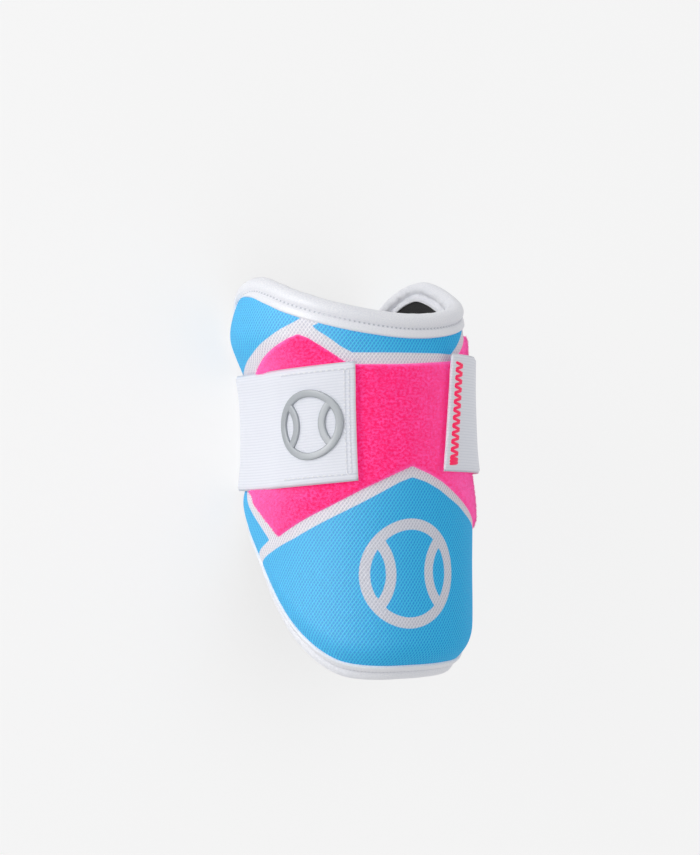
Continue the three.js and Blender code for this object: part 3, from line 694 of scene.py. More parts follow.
def mesh_knit_group():
    """Warp-knit mesh: two slanted families of ridges that cross into diamonds. Ridges and holes come out as a
    height from 0 to 1 and a mask of the ridges."""
    sockets = [("Vector", VECTOR), ("Cell Width", NUMBER), ("Cell Height", NUMBER)]
    outputs = [("Height", NUMBER), ("Ridges", NUMBER)]
    group, wires, given, made = new_group("guard_mesh_knit", sockets, outputs)
    split = wires.add("ShaderNodeSeparateXYZ", {"Vector": given.outputs["Vector"]})
    wander = wires.noise(given.outputs["Vector"], 260.0, 2.0)
    shift = wires.math("MULTIPLY", wires.math("SUBTRACT", wander, 0.5), 0.5)
    across = wires.math("DIVIDE", split.outputs["X"], given.outputs["Cell Width"])
    upward = wires.math("DIVIDE", split.outputs["Y"], given.outputs["Cell Height"])
    ridges = []
    for operation in ("ADD", "SUBTRACT"):
        slanted = wires.math("ADD", wires.math(operation, across, upward), shift)
        wave = wires.math("ABSOLUTE", wires.math("SINE", wires.math("MULTIPLY", slanted, math.pi)))
        # One family of ridges is weaker than the other. In the colour this becomes a painted highlight that
        # is brighter along one diagonal.
        ridges.append(wires.smooth(wave, 0.1, 0.85, 1.0 if operation == "ADD" else 0.65, 0.0))
    both = wires.math("MAXIMUM", *ridges)
    crossing = wires.math("MULTIPLY", *ridges)
    height = wires.math("MULTIPLY_ADD", crossing, 0.25, wires.math("MULTIPLY", both, 0.75))
    wires.fill(made, {"Height": height, "Ridges": both})
    return group


def fibre_group():
    """Fine fibres: noise stretched along the thread with a speckle over it, from 0 to 1."""
    sockets = [("Vector", VECTOR), ("Scale", NUMBER), ("Stretch", VECTOR)]
    group, wires, given, made = new_group("guard_fibres", sockets, [("Fibres", NUMBER)])
    inputs = {"Vector": given.outputs["Vector"], "Scale": given.outputs["Stretch"]}
    stretched = wires.add("ShaderNodeMapping", inputs).outputs["Vector"]
    inputs = {"Vector": stretched, "Scale": given.outputs["Scale"], "Detail": 3.0, "Roughness": 0.6}
    noise = wires.add("ShaderNodeTexNoise", inputs).outputs["Fac"]
    wires.put(made.inputs["Fibres"], wires.smooth(noise, 0.25, 0.75))
    return group


def rib_group():
    """Woven elastic: ribs along the strap with fine cross threads between them, as a height from 0 to 1."""
    sockets = [("Vector", VECTOR), ("Rib Pitch", NUMBER), ("Thread Pitch", NUMBER)]
    outputs = [("Height", NUMBER), ("Grooves", NUMBER)]
    group, wires, given, made = new_group("guard_elastic_ribs", sockets, outputs)
    split = wires.add("ShaderNodeSeparateXYZ", {"Vector": given.outputs["Vector"]})
    crests = []
    for axis, pitch in (("Y", "Rib Pitch"), ("X", "Thread Pitch")):
        share = wires.math("DIVIDE", split.outputs[axis], given.outputs[pitch])
        wave = wires.math("COSINE", wires.math("MULTIPLY", share, 2 * math.pi))
        crests.append(wires.math("MULTIPLY_ADD", wave, 0.5, 0.5))
    rib, thread = crests
    groove = wires.smooth(rib, 0.0, 0.45, 1.0, 0.0)
    height = wires.math("MULTIPLY_ADD", thread, 0.35, wires.math("MULTIPLY", rib, 0.65))
    wires.fill(made, {"Height": height, "Grooves": groove})
    return group


def group_node(wires, builder, name, inputs):
    """A node of a shared group, built when first asked for."""
    group = bpy.data.node_groups.get(name) or builder()
    return wires.add("ShaderNodeGroup", inputs, node_tree=group).outputs


def fibres_over(wires, flat, scale, stretch=(1, 1, 1)):
    """Fibres on a piece, at a scale per metre, stretched along its flat axes."""
    inputs = {"Vector": flat, "Scale": scale, "Stretch": stretch}
    return group_node(wires, fibre_group, "guard_fibres", inputs)["Fibres"]


def new_material(name, constants):
    """A material whose shader holds its constant numbers, with its wiring, shader and flat coordinates."""
    material = bpy.data.materials.new(name)
    material.use_nodes = True
    tree = material.node_tree
    tree.nodes.clear()
    wires = Wiring(tree)
    shader = wires.add("ShaderNodeBsdfPrincipled", constants)
    output = wires.add("ShaderNodeOutputMaterial")
    tree.links.new(shader.outputs["BSDF"], output.inputs["Surface"])
    flat = wires.add("ShaderNodeUVMap", uv_map="flat").outputs["UV"]
    return material, wires, shader, flat


def knit_material(settings):
    """Printed warp-knit mesh: blue where the print is, white elsewhere, with a painted highlight that makes
    the mesh's ridges paler and a painted shade that makes its holes darker.
    """
    constants = {"Specular IOR Level": 0.55}
    material, wires, shader, flat = new_material("guard_printed_knit", constants)
    cell = {"Vector": flat, "Cell Width": settings.mesh_cell[0], "Cell Height": settings.mesh_cell[1]}
    knit = group_node(wires, mesh_knit_group, "guard_mesh_knit", cell)
    fibres = fibres_over(wires, flat, 3500.0)
    # Ridge colours carry a painted highlight and hole colours a painted shade, over the print's own blue,
    # white and motif colours.
    blue = wires.mix(knit["Ridges"], settings.blue_shaded_holes, settings.blue_highlit_ridges)
    white = wires.mix(knit["Ridges"], settings.white_shaded_holes, settings.white_highlit_ridges)
    side = wires.add("ShaderNodeAttribute", attribute_name="blue_side").outputs["Fac"]
    motif = wires.add("ShaderNodeAttribute", attribute_name="motif_side").outputs["Fac"]
    ragged = wires.math("MULTIPLY", wires.math("SUBTRACT", fibres, 0.5), 0.35)
    in_blue = wires.smooth(wires.math("ADD", side, ragged), -0.22, 0.22)
    in_motif = wires.smooth(wires.math("ADD", motif, ragged), -0.18, 0.18)
    colour = wires.mix(in_blue, white, blue)
    colour = wires.mix(in_motif, colour, wires.mix(knit["Ridges"], settings.motif_shaded_holes, settings.motif_highlit_ridges))
    speckle = wires.smooth(fibres, 0.0, 1.0, 0.94, 1.05)
    grey = wires.add("ShaderNodeCombineColor", dict.fromkeys(("Red", "Green", "Blue"), speckle))
    wires.put(shader.inputs["Base Color"], wires.mix(1.0, colour, grey.outputs["Color"], "MULTIPLY"))
    wires.put(shader.inputs["Roughness"], wires.smooth(knit["Ridges"], 0.0, 1.0, 0.8, 0.7))
    relief = wires.bump(knit["Height"], 0.00018, 0.8)
    wires.put(shader.inputs["Normal"], wires.bump(fibres, 0.00004, 0.6, relief))
    return material


def pile_material(settings):
    """Brushed loop pile: matted tufts of two sizes, darker between them by painted shade and paler on their
    tips by painted highlight, paler still by painted sheen where it is seen edge-on, and brightened by a
    painted glow of pink emission."""
    constants = {"Sheen Weight": 0.3, "Sheen Roughness": 0.4, "Specular IOR Level": 0.1, "Roughness": 0.85}
    material, wires, shader, flat = new_material("guard_pink_pile", constants)
    # Painted glow: a pink emission that brightens the pile without any lamp.
    glow = {"Emission Color": settings.glow, "Emission Strength": settings.painted_glow_strength}
    wires.fill(shader, {"Sheen Tint": settings.sheen, **glow})
    tufts = fibres_over(wires, flat, 750.0, (1, 1.25, 1))
    fluff = fibres_over(wires, flat, 3800.0)
    blotch = wires.noise(flat, 160.0, 2.0)
    # Painted shade between the tufts and painted highlight on their tips: the colour follows the pile's
    # height.
    height = wires.math("MULTIPLY_ADD", fluff, 0.45, wires.math("MULTIPLY", tufts, 0.55))
    colour = wires.mix(wires.smooth(height, 0.3, 0.75), settings.deep, settings.pale)
    colour = wires.mix(wires.smooth(blotch, 0.35, 0.7, 0.0, 0.3), colour, settings.deep)
    # Painted sheen: where the pile is seen edge-on, its colour turns towards the sheen colour.
    facing = wires.add("ShaderNodeLayerWeight", {"Blend": 0.5}).outputs["Facing"]
    beside = wires.smooth(facing, 0.07, 0.62, 0.0, 0.65)
    wires.put(shader.inputs["Base Color"], wires.mix(beside, colour, settings.sheen))
    wires.put(shader.inputs["Normal"], wires.bump(height, 0.0004, 0.7))
    return material


def tape_material(settings):
    """Smooth stretch tape: a very fine knit, a little shiny, with painted shade along its outer seam."""
    constants = {"Sheen Weight": 0.2, "Sheen Roughness": 0.3, "Specular IOR Level": 0.2}
    material, wires, shader, flat = new_material("guard_white_tape", constants)
    fibres = fibres_over(wires, flat, 2600.0, (0.5, 1.6, 1))
    patches = wires.noise(flat, 60.0, 1.0)
    colour = wires.mix(fibres, settings.colour_deep, settings.colour)
    colour = wires.mix(wires.smooth(patches, 0.4, 0.7, 0.0, 0.25), colour, settings.colour_deep)
    place = wires.add("ShaderNodeSeparateXYZ", {"Vector": flat}).outputs
    # Painted shade along the outer seam, darkest in dashes at every stitch.
    away = wires.math("ABSOLUTE", wires.math("ADD", place["Y"], settings.outer_seam * 0.001))
    turn = wires.math("MULTIPLY", place["X"], 2 * math.pi / (settings.stitch_pitch * 0.001))
    seam_shade_dashes = wires.smooth(wires.math("COSINE", turn), -0.2, 0.8, 0.25, 1.0)
    seam = wires.math("MULTIPLY", wires.smooth(away, 0.0001, 0.0006, 1.0, 0.0), seam_shade_dashes)
    colour = wires.mix(wires.math("MULTIPLY", seam, 0.5), colour, settings.seam)
    wires.put(shader.inputs["Base Color"], colour)
    wires.put(shader.inputs["Roughness"], wires.smooth(fibres, 0.0, 1.0, 0.6, 0.45))
    wires.put(shader.inputs["Normal"], wires.bump(fibres, 0.00002, 0.4))
    return material


def elastic_material(settings):
    """Woven elastic: ribs along its length, with painted shade in the grooves and along the stitch lines of
    the wide end.
    """
    constants = {"Sheen Weight": 0.3, "Sheen Roughness": 0.5, "Specular IOR Level": 0.1, "Roughness": 0.75}
    material, wires, shader, flat = new_material("guard_white_elastic", constants)
    pitch = {"Vector": flat, "Rib Pitch": settings.rib_pitch, "Thread Pitch": settings.thread_pitch}
    ribs = group_node(wires, rib_group, "guard_elastic_ribs", pitch)
    fibres = fibres_over(wires, flat, 2200.0, (1.4, 0.6, 1))
    # Painted shade in the grooves between the ribs. The fibre mix below adds random tone.
    colour = wires.mix(wires.math("MULTIPLY", ribs["Grooves"], 0.4), settings.colour, settings.colour_deep)
    colour = wires.mix(wires.smooth(fibres, 0.0, 1.0, 0.0, 0.18), colour, settings.colour_deep)
    place = wires.add("ShaderNodeSeparateXYZ", {"Vector": flat}).outputs
    beside = wires.math("ABSOLUTE", place["Y"])
    seams = []
    for value, line, other, limit in (
        (beside, SEAM_HALF, place["X"], SEAM_LENGTH),
        (place["X"], SEAM_ENDS[0], beside, SEAM_HALF),
        (place["X"], SEAM_ENDS[1], beside, SEAM_HALF),
    ):
        away = wires.math("ABSOLUTE", wires.math("SUBTRACT", value, line * 0.001))
        stripe = wires.smooth(away, 0.00015, 0.00055, 1.0, 0.0)
        seams.append(wires.math("MULTIPLY", stripe, wires.math("LESS_THAN", other, limit * 0.001)))
    seam = wires.math("MAXIMUM", wires.math("MAXIMUM", seams[0], seams[1]), seams[2])
    # Painted shade along the stitch lines of the wide end.
    colour = wires.mix(wires.math("MULTIPLY", seam, 0.24), colour, settings.seam)
    wires.put(shader.inputs["Base Color"], colour)
    relief = wires.bump(ribs["Height"], 0.00008, 0.6)
    wires.put(shader.inputs["Normal"], wires.bump(fibres, 0.00004, 0.5, relief))
    return material


def lining_material(settings):
    """Black brushed lining with a soft nap."""
    constants = {"Sheen Weight": 0.1, "Sheen Roughness": 0.5, "Specular IOR Level": 0.2, "Roughness": 0.9}
    material, wires, shader, flat = new_material("guard_black_lining", constants)
    fibres = fibres_over(wires, flat, 1800.0, (1, 1.5, 1))
    colour = wires.mix(fibres, settings.lining_deep, settings.lining_pale)
    wires.put(shader.inputs["Base Color"], colour)
    wires.put(shader.inputs["Normal"], wires.bump(fibres, 0.00012, 0.6))
    return material


def hook_material(settings):
    """Hook tape: rows of tiny hooks as round bumps, with painted shade between them."""
    constants = {"Specular IOR Level": 0.4, "Roughness": 0.5}
    material, wires, shader, flat = new_material("guard_white_hook", constants)
    cells = wires.add("ShaderNodeTexVoronoi", {"Vector": flat, "Scale": 1100.0, "Randomness": 0.25})
    hooks = wires.smooth(cells.outputs["Distance"], 0.1, 0.5, 1.0, 0.0)
    # Painted shade between the hooks.
    wires.put(shader.inputs["Base Color"], wires.mix(hooks, settings.colour_deep, settings.colour))
    wires.put(shader.inputs["Normal"], wires.bump(hooks, 0.0004, 0.8))
    return material


def rubber_material(settings):
    """Satin moulded rubber with a faint grain."""
    constants = {"Specular IOR Level": 0.25}
    material, wires, shader, _ = new_material("guard_grey_rubber", constants)
    place = wires.add("ShaderNodeTexCoord").outputs["Object"]
    grain = wires.noise(place, 2500.0, 2.0)
    wires.put(shader.inputs["Base Color"], wires.mix(grain, settings.colour_deep, settings.colour))
    wires.put(shader.inputs["Roughness"], wires.smooth(grain, 0.2, 0.8, 0.4, 0.55))
    wires.put(shader.inputs["Normal"], wires.bump(grain, 0.00003, 0.4))
    return material


def thread_material(name, colour, deep, glow=0.0):
    """Sewing thread: twisted, so its colour changes in fine steps. A painted glow, an emission in its own
    colour, can brighten it without a lamp.
    """
    constants = {"Sheen Weight": 0.3, "Specular IOR Level": 0.3, "Roughness": 0.6}
    constants.update({"Emission Color": colour, "Emission Strength": glow})
    material, wires, shader, _ = new_material(name, constants)
    place = wires.add("ShaderNodeTexCoord").outputs["Object"]
    twist = wires.noise(place, 3000.0, 1.0)
    wires.put(shader.inputs["Base Color"], wires.mix(twist, deep, colour))
    wires.put(shader.inputs["Normal"], wires.bump(twist, 0.00005, 0.5))
    return material


def linear(red, green, blue):
    """A display colour of 0 to 255 as the shader's linear colour."""
    c = np.array([red, green, blue]) / 255
    c = np.where(c < 0.04045, c / 12.92, ((c + 0.055) / 1.055) ** 2.4)
    return (*[float(x) for x in c], 1.0)


def colour_property(name, description, default):
    """A colour with no transparency in its picker."""
    return bpy.props.FloatVectorProperty(
        name=name, description=description, default=default, size=4, min=0, max=1, subtype="COLOR"
    )


def size_property(name, description, default, low, high):
    """A size in millimetres."""
    return bpy.props.FloatProperty(
        name=name, description=f"{description}, in millimetres", default=default, min=low, max=high
    )


def strength_property(name, description, default, high):
    """A share or strength from nought."""
    return bpy.props.FloatProperty(name=name, description=description, default=default, min=0, max=high)


def power_property(name, description, default):
    """The power of a lamp."""
    return bpy.props.FloatProperty(name=name, description=description, default=default, min=0, unit="POWER")


def spacing_property(name, description, default):
    """A small distance in metres."""
    return bpy.props.FloatProperty(
        name=name, description=description, default=default, unit="LENGTH", precision=5
    )


class GuardShellSettings(bpy.types.PropertyGroup):
    """Sizes and colours of the shell and its lining."""

    # Each colour pair is the print's colour with a painted highlight on the mesh's ridges and a painted shade
    # in its holes.
    blue_highlit_ridges: colour_property("Blue, ridges", "Printed blue on the mesh's ridges", linear(56, 213, 255))
    blue_shaded_holes: colour_property("Blue, holes", "Printed blue in the mesh's holes", linear(0, 156, 236))
    white_highlit_ridges: colour_property("White, ridges", "Unprinted knit on the mesh's ridges", linear(250, 249, 254))
    white_shaded_holes: colour_property("White, holes", "Unprinted knit in the mesh's holes", linear(208, 207, 220))
    motif_highlit_ridges: colour_property("Motif, ridges", "Printed motif on the mesh's ridges", linear(236, 237, 247))
    motif_shaded_holes: colour_property("Motif, holes", "Printed motif in the mesh's holes", linear(200, 202, 216))
    lining_pale: colour_property("Lining, nap", "Black lining on its nap", linear(30, 30, 34))
    lining_deep: colour_property("Lining, depth", "Black lining between its fibres", linear(10, 10, 12))
    mesh_cell: bpy.props.FloatVectorProperty(
        name="Mesh cell", description="Width and height of a mesh diamond", default=(0.0016, 0.0022),
        size=2, subtype="XYZ", unit="LENGTH",
    )
    motif_radius: size_property("Motif radius", "To the middle of the printed ring", 20.5, 5, 30)
    motif_line: size_property("Motif line", "Width of the printed lines", 4.6, 1, 10)


class GuardBindingSettings(bpy.types.PropertyGroup):
    """Sizes and colours of the edge binding and its seams."""

    colour: colour_property("Tape", "White stretch tape", linear(250, 250, 253))
    colour_deep: colour_property("Tape, shade", "White tape between its threads", linear(232, 234, 242))
    seam: colour_property("Tape, seams", "White tape in the shade of its seams", linear(120, 126, 146))
    outer_leg: size_property("Outer leg", "Edge's tip to the tape's edge outside", 9.6, 6, 12)
    outer_seam: size_property("Outer seam", "Edge's tip to the outer stitches", 5.7, 4, 8)
    inner_seam: size_property("Inner seam", "Edge's tip to the inner stitches", 3.3, 2, 8)
    inner_leg: size_property("Inner leg", "Edge's tip to the tape's edge inside", 5.6, 4, 12)
    corner_cut: size_property("Corner cut", "Shorter outer leg at the flap's corner", 4.6, 0, 6)
    stitch_pitch: size_property("Stitch pitch", "Length of one stitch and its gap", 2.0, 1, 6)


class GuardPanelSettings(bpy.types.PropertyGroup):
    """Fibres and colours of the loop panel."""

    # Tips and depth of the pile: a painted highlight on the tufts' tips and a painted shade between them.
    pale: colour_property("Pile, tips", "Pink pile on its tips", (1.0, 0.11, 0.45, 1.0))
    deep: colour_property("Pile, depth", "Pink pile between its tufts", (0.88, 0.004, 0.11, 1.0))
    # The sheen colour is both the tint of the shader's sheen and a painted sheen mixed into the pile's colour
    # where it is seen edge-on.
    sheen: colour_property("Pile, sheen", "Pile that is seen from the side", (1.0, 0.27, 0.75, 1.0))
    # Painted glow of the pile: an emission that brightens it without a lamp.
    glow: colour_property("Pile, glow", "Light of the fluorescent dye", (1.0, 0.02, 0.2, 1.0))
    painted_glow_strength: strength_property("Glow", "Strength of the dye's light", 0.35, 1)
    fibres: bpy.props.IntProperty(
        name="Fibres", description="How many short fibres", default=42000, min=0, max=48000
    )
    fibre_length: size_property("Fibre length", "Longest fibre", 1.1, 0.2, 2)
    fibre_width: size_property("Fibre width", "At its foot", 0.16, 0.02, 0.5)


class GuardStrapSettings(bpy.types.PropertyGroup):
    """Sizes and colours of the strap and its threads."""

    colour: colour_property("Elastic", "White woven elastic", linear(240, 242, 250))
    # This colour paints shade in the elastic's grooves and between the hooks, and also gives the elastic its
    # random tone.
    colour_deep: colour_property("Elastic, grooves", "White elastic between its ribs", linear(214, 218, 230))
    seam: colour_property("Elastic, seams", "White elastic in the shade of its seams", linear(150, 156, 176))
    thread: colour_property("Bar thread", "Pink thread of the plain end's zigzag", linear(255, 24, 100))
    thread_deep: colour_property("Bar thread, shade", "Pink thread in its twist", linear(235, 4, 78))
    rib_pitch: spacing_property("Rib pitch", "Distance between ribs", 0.00118)
    thread_pitch: spacing_property("Thread pitch", "Distance between cross threads", 0.0013)


class GuardEmblemSettings(bpy.types.PropertyGroup):
    """Sizes and colours of the strap's emblem."""

    colour: colour_property("Rubber", "Grey rubber", linear(178, 183, 188))
    colour_deep: colour_property("Rubber, shade", "Grey rubber in its grain", linear(164, 169, 175))
    radius: size_property("Radius", "To the middle of the ring", 13.0, 5, 20)
    line: size_property("Line", "Width of the raised lines", 3.0, 1, 6)


class GuardStageSettings(bpy.types.PropertyGroup):
    """Light and floor."""

    floor: colour_property("Floor", "Pale floor", (0.3, 0.3, 0.3, 1.0))
    floor_glow: strength_property("Floor glow", "Light of its own", 0.7, 2)
    key: power_property("Key light", "Power", 5.0)
    fill: power_property("Fill light", "Power", 1.5)
    gloss: power_property("Gloss light", "Power, seen in gloss only", 40.0)
    sky: strength_property("Sky", "Strength of the surroundings", 0.55, 5)


def settings_of(name):
    """One of the scene's groups of settings."""
    return getattr(bpy.context.scene, name)


class GUARD_OT_shell(bpy.types.Operator):
    """Padded shell with its printed knit cover"""

    bl_idname = "guard.shell"
    bl_label = "Padded shell"

    def execute(self, context):
        settings = settings_of("guard_shell")
        across, along = 190, 120
        ring = edge_ring(across, along)
        ease = np.linspace(0, 1, 19)[1:] ** 0.92
        ends = edge_ends(ring)
        arcs = np.concatenate([-ease[::-1] * ends[:, :1], 0 * ends[:, :1], ease[1::2] * ends[:, 1:]], axis=1)
        band, band_flat = edge_band(ring, arcs, 0.0)
        outer, outer_flat = fill_grid(ring, across, along, 0.0)
        inner, inner_flat = fill_grid(ring, across, along, PAD_THICKNESS)
        patches = [
            patch(band, band_flat, close_rows=True),
            patch(outer, outer_flat, flip=True),
            patch(inner, inner_flat),
        ]
        middle = outline([MOTIF_MIDDLE])[0]

        def motif(flat):
            x, y = flat[:, 0] - middle[0], flat[:, 1] - middle[1]
            return ball_side(x, y, settings.motif_radius, settings.motif_line)

        material = knit_material(settings)
        shell = build("padded_shell_cover", patches, material, blue_side=blue_side, motif_side=motif)
        settle(shell, "printed_knit", "padded_shell")
        return {"FINISHED"}


class GUARD_OT_lining(bpy.types.Operator):
    """Black lining on the shell's inner face"""

    bl_idname = "guard.lining"
    bl_label = "Inner lining"

    def execute(self, context):
        across, along = 120, 80
        ring = edge_ring(across, along)
        arcs = LINING_START + (edge_ends(ring)[:, 1:] - LINING_START) * np.linspace(0, 1, 16)
        near, far = SEAT_GAP, SEAT_GAP + LINING_THICKNESS
        near_band, near_flat = edge_band(ring, arcs, near)
        far_band, far_flat = edge_band(ring, arcs, far)
        near_fill, fill_flat = fill_grid(ring, across, along, PAD_THICKNESS + near)
        far_fill, _ = fill_grid(ring, across, along, PAD_THICKNESS + far)
        wall = np.stack([far_band[:, 0], near_band[:, 0]], axis=1)
        wall_flat = np.stack([far_flat[:, 0], near_flat[:, 0]], axis=1)
        patches = [
            patch(near_band, near_flat, close_rows=True),
            patch(near_fill, fill_flat),
            patch(far_band, far_flat, close_rows=True, flip=True),
            patch(far_fill, fill_flat, flip=True),
            patch(wall, wall_flat, close_rows=True),
        ]
        lining = build("inner_lining_skin", patches, lining_material(settings_of("guard_shell")))
        settle(lining, "black_lining", "inner_lining")
        return {"FINISHED"}


def binding_arcs(settings, ring, count):
    """Arc lengths over the tape at each edge point, close together at its seams. Its outer leg is shorter
    where the edge turns the flap's upper corner, by a bell curve of the distance from it."""
    corner = CORNER_PLACE * np.array([FLAP_WRAP * FLAT_RADIUS, SHELL_LENGTH])
    gap = np.hypot(np.abs(ring[:, 0]) - corner[0], ring[:, 1] - corner[1])
    short = settings.corner_cut * bell(gap, CORNER_SPREAD)
    share = np.linspace(0, 1, count)
    share = share - 0.035 * np.sin(4 * np.pi * share)
    start = -settings.outer_leg + short
    return start[:, None] + (settings.inner_leg - start)[:, None] * share[None, :]


def binding_surface(settings, ring, arcs):
    """Height of the tape's outer face over the pad at each edge point and arc: a flat leg that thins to its
    cut edge, a round roll between the seams, a groove at each seam that dips at every stitch, and puckers
    that grow from the roll's crown to the inner seam."""
    outer, inner = -settings.outer_seam, settings.inner_seam
    middle, half = (outer + inner) / 2, (inner - outer) / 2
    roll = ROLL_HEIGHT * np.sqrt(np.clip(1 - ((arcs - middle) / half) ** 2, 0, 1))
    leg = OUTER_LEG_HEIGHT * quarter_round((arcs - arcs[:, :1]) / LEG_ROUNDING)
    rise = np.clip((arcs - inner - 0.05) / 0.5, 0, 1)
    rounding = np.minimum(rise, quarter_round((arcs[:, -1:] - arcs) / LEG_ROUNDING))
    inner_leg = INNER_LEG_HEIGHT * rise + INNER_LEG_ROUND * rounding
    height = np.where(arcs < outer, leg, np.maximum(roll, ROLL_LOWEST))
    height = np.where(arcs > inner, inner_leg, height)
    round_it = way_along(ring[:, :2])
    length = round_it[-1]
    pinch = 0.5 + 0.5 * np.cos(2 * np.pi * round_it / settings.stitch_pitch)[:, None]
    groove = (OUTER_GROOVE + OUTER_DIP * pinch) * bell(arcs - outer, OUTER_GROOVE_WIDTH)
    groove = groove + INNER_GROOVE * bell(arcs - inner, INNER_GROOVE_WIDTH) * (arcs < inner + 0.1)
    coarse = waves(length, 5, 11.0, len(ring))[:, None]
    fine = waves(length, 9, 3.0, len(ring))[:, None]
    pucker = bell(arcs - inner + PUCKER_PLACE, PUCKER_WIDTH)
    pucker = pucker * (PUCKER_FINE * fine + PUCKER_COARSE * coarse) * (arcs < inner)
    pull = bell(arcs - outer - PULL_PLACE, PULL_WIDTH) * PULL_DEPTH * pinch + PULL_WAVE * coarse * (roll > 0)
    surface = height - groove + pucker - pull
    return np.where(arcs > inner + 0.5, surface, np.maximum(surface, TAPE_LOWEST))


class GUARD_OT_binding(bpy.types.Operator):
    """White tape folded over the shell's edge"""

    bl_idname = "guard.binding"
    bl_label = "Edge binding"

    def execute(self, context):
        settings = settings_of("guard_binding")
        ring = edge_ring(460, 260)
        arcs = binding_arcs(settings, ring, 44)
        over_lining = np.clip((arcs - LINING_START + 0.25) / 0.25, 0, 1)
        over, flat = edge_band(ring, arcs, binding_surface(settings, ring, arcs))
        under, _ = edge_band(ring, arcs, -0.1 + over_lining * (LINING_THICKNESS + 0.45))
        last = arcs.shape[1] - 1
        coarse = np.append(np.arange(0, last, 4), last)
        under = under[:, coarse]
        walls = []
        for k in (0, -1):
            middle = (over[:, k] + under[:, k]) / 2
            walls.append(np.stack([over[:, k], middle, under[:, k]], axis=1))
        round_it = way_along(ring[:, :2])
        tape_flat = np.stack([round_it[:, None] + 0 * arcs, arcs], axis=-1)
        patches = [
            patch(over, tape_flat, close_rows=True),
            patch(under, tape_flat[:, coarse], close_rows=True, flip=True),
            patch(walls[0], close_rows=True, flip=True),
            patch(walls[1], close_rows=True),
        ]
        binding = build("edge_binding_tape", patches, tape_material(settings))
        recalculate(binding)
        settle(binding, "white_tape", "edge_binding")
        return {"FINISHED"}


class GUARD_OT_binding_stitches(bpy.types.Operator):
    """Two rows of white stitches that hold the binding"""

    bl_idname = "guard.binding_stitches"
    bl_label = "Binding stitches"

    def execute(self, context):
        settings = settings_of("guard_binding")
        fine = edge_ring(920, 520)
        rows = []
        for arc in (-settings.outer_seam, settings.inner_seam):
            arcs = np.full((len(fine), 1), arc) + np.array([[-0.3, 0, 0.3]])
            whole = binding_arcs(settings, fine, 3)
            arcs_all = np.concatenate([whole[:, :1], arcs, whole[:, -1:]], axis=1)
            lift = binding_surface(settings, fine, arcs_all)[:, 1:4]
            band, _ = edge_band(fine, arcs, lift)
            low, _ = edge_band(fine, arcs, lift - 1.0)
            line, outward = band[:, 1], band[:, 1] - low[:, 1]
            length = way_along(line)
            count = int(length[-1] / settings.stitch_pitch)
            at = (np.arange(count) + 0.5) * length[-1] / count
            centres, ahead, outwards = (
                np.stack([np.interp(where, length, column) for column in values.T], axis=1)
                for where, values in ((at, line), (at + 0.3, line), (at, outward))
            )
            rows.append(beads(centres, ahead - centres, outwards, 0.62 * settings.stitch_pitch, 0.3))
        thread = thread_material("guard_white_thread", settings.colour, settings.colour_deep)
        stitches = build("edge_binding_stitches", rows, thread)
        settle(stitches, "white_tape")
        return {"FINISHED"}


class GUARD_OT_loop_panel(bpy.types.Operator):
    """Pink loop panel across the middle of the shell"""

    bl_idname = "guard.loop_panel"
    bl_label = "Loop panel"

    def execute(self, context):
        settings = settings_of("guard_panel")
        top, bottom = outline(PANEL_TOP), outline(PANEL_BOTTOM)
        columns, rows = 300, 70
        s = np.linspace(top[0, 0], top[-1, 0], columns)
        upper = np.interp(-s, -top[:, 0], top[:, 1])
        lower = np.interp(-s, -bottom[:, 0], bottom[:, 1])
        t = np.linspace(-1, 1, rows)
        share = 0.5 + 0.5 * (0.88 * t + 0.12 * np.sign(t) * (1 - (1 - np.abs(t)) ** 4))
        y = upper[:, None] + (lower - upper)[:, None] * share[None, :]
        flat = np.stack([s[:, None] + 0 * y, y], axis=-1)
        tufts = np.random.default_rng(3).normal(0, 1, (columns, rows))
        tufts = (tufts + np.roll(tufts, 1, 0) + np.roll(tufts, 1, 1) + np.roll(tufts, (1, 1), (0, 1))) / 2
        height = pile_height(flat)
        over = over_shell(flat, height + 0.02 * tufts * np.clip(height, 0, 1))
        under = over_shell(flat, np.full(height.shape, PANEL_BASE))
        edges = [(over[0], under[0]), (under[-1], over[-1])]
        edges += [(under[:, 0], over[:, 0]), (over[:, -1], under[:, -1])]
        walls = [patch(np.stack(pair, axis=0)) for pair in edges]
        patches = [patch(over, flat), patch(under, flat, flip=True), *walls]
        panel = build("loop_panel_pile", patches, pile_material(settings))
        recalculate(panel)
        settle(panel, "pink_pile", "loop_panel")
        return {"FINISHED"}


def panel_side(flat):
    """How far a flat point lies inside the loop panel, negative outside it."""
    return side_of(flat, np.concatenate([outline(PANEL_TOP), outline(PANEL_BOTTOM)[::-1]]))


def pile_height(flat):
    """Height of the pile over the shell: flat on top, and a quarter round at its border."""
    return PANEL_FACE * quarter_round(panel_side(flat) / PILE_ROUNDING)


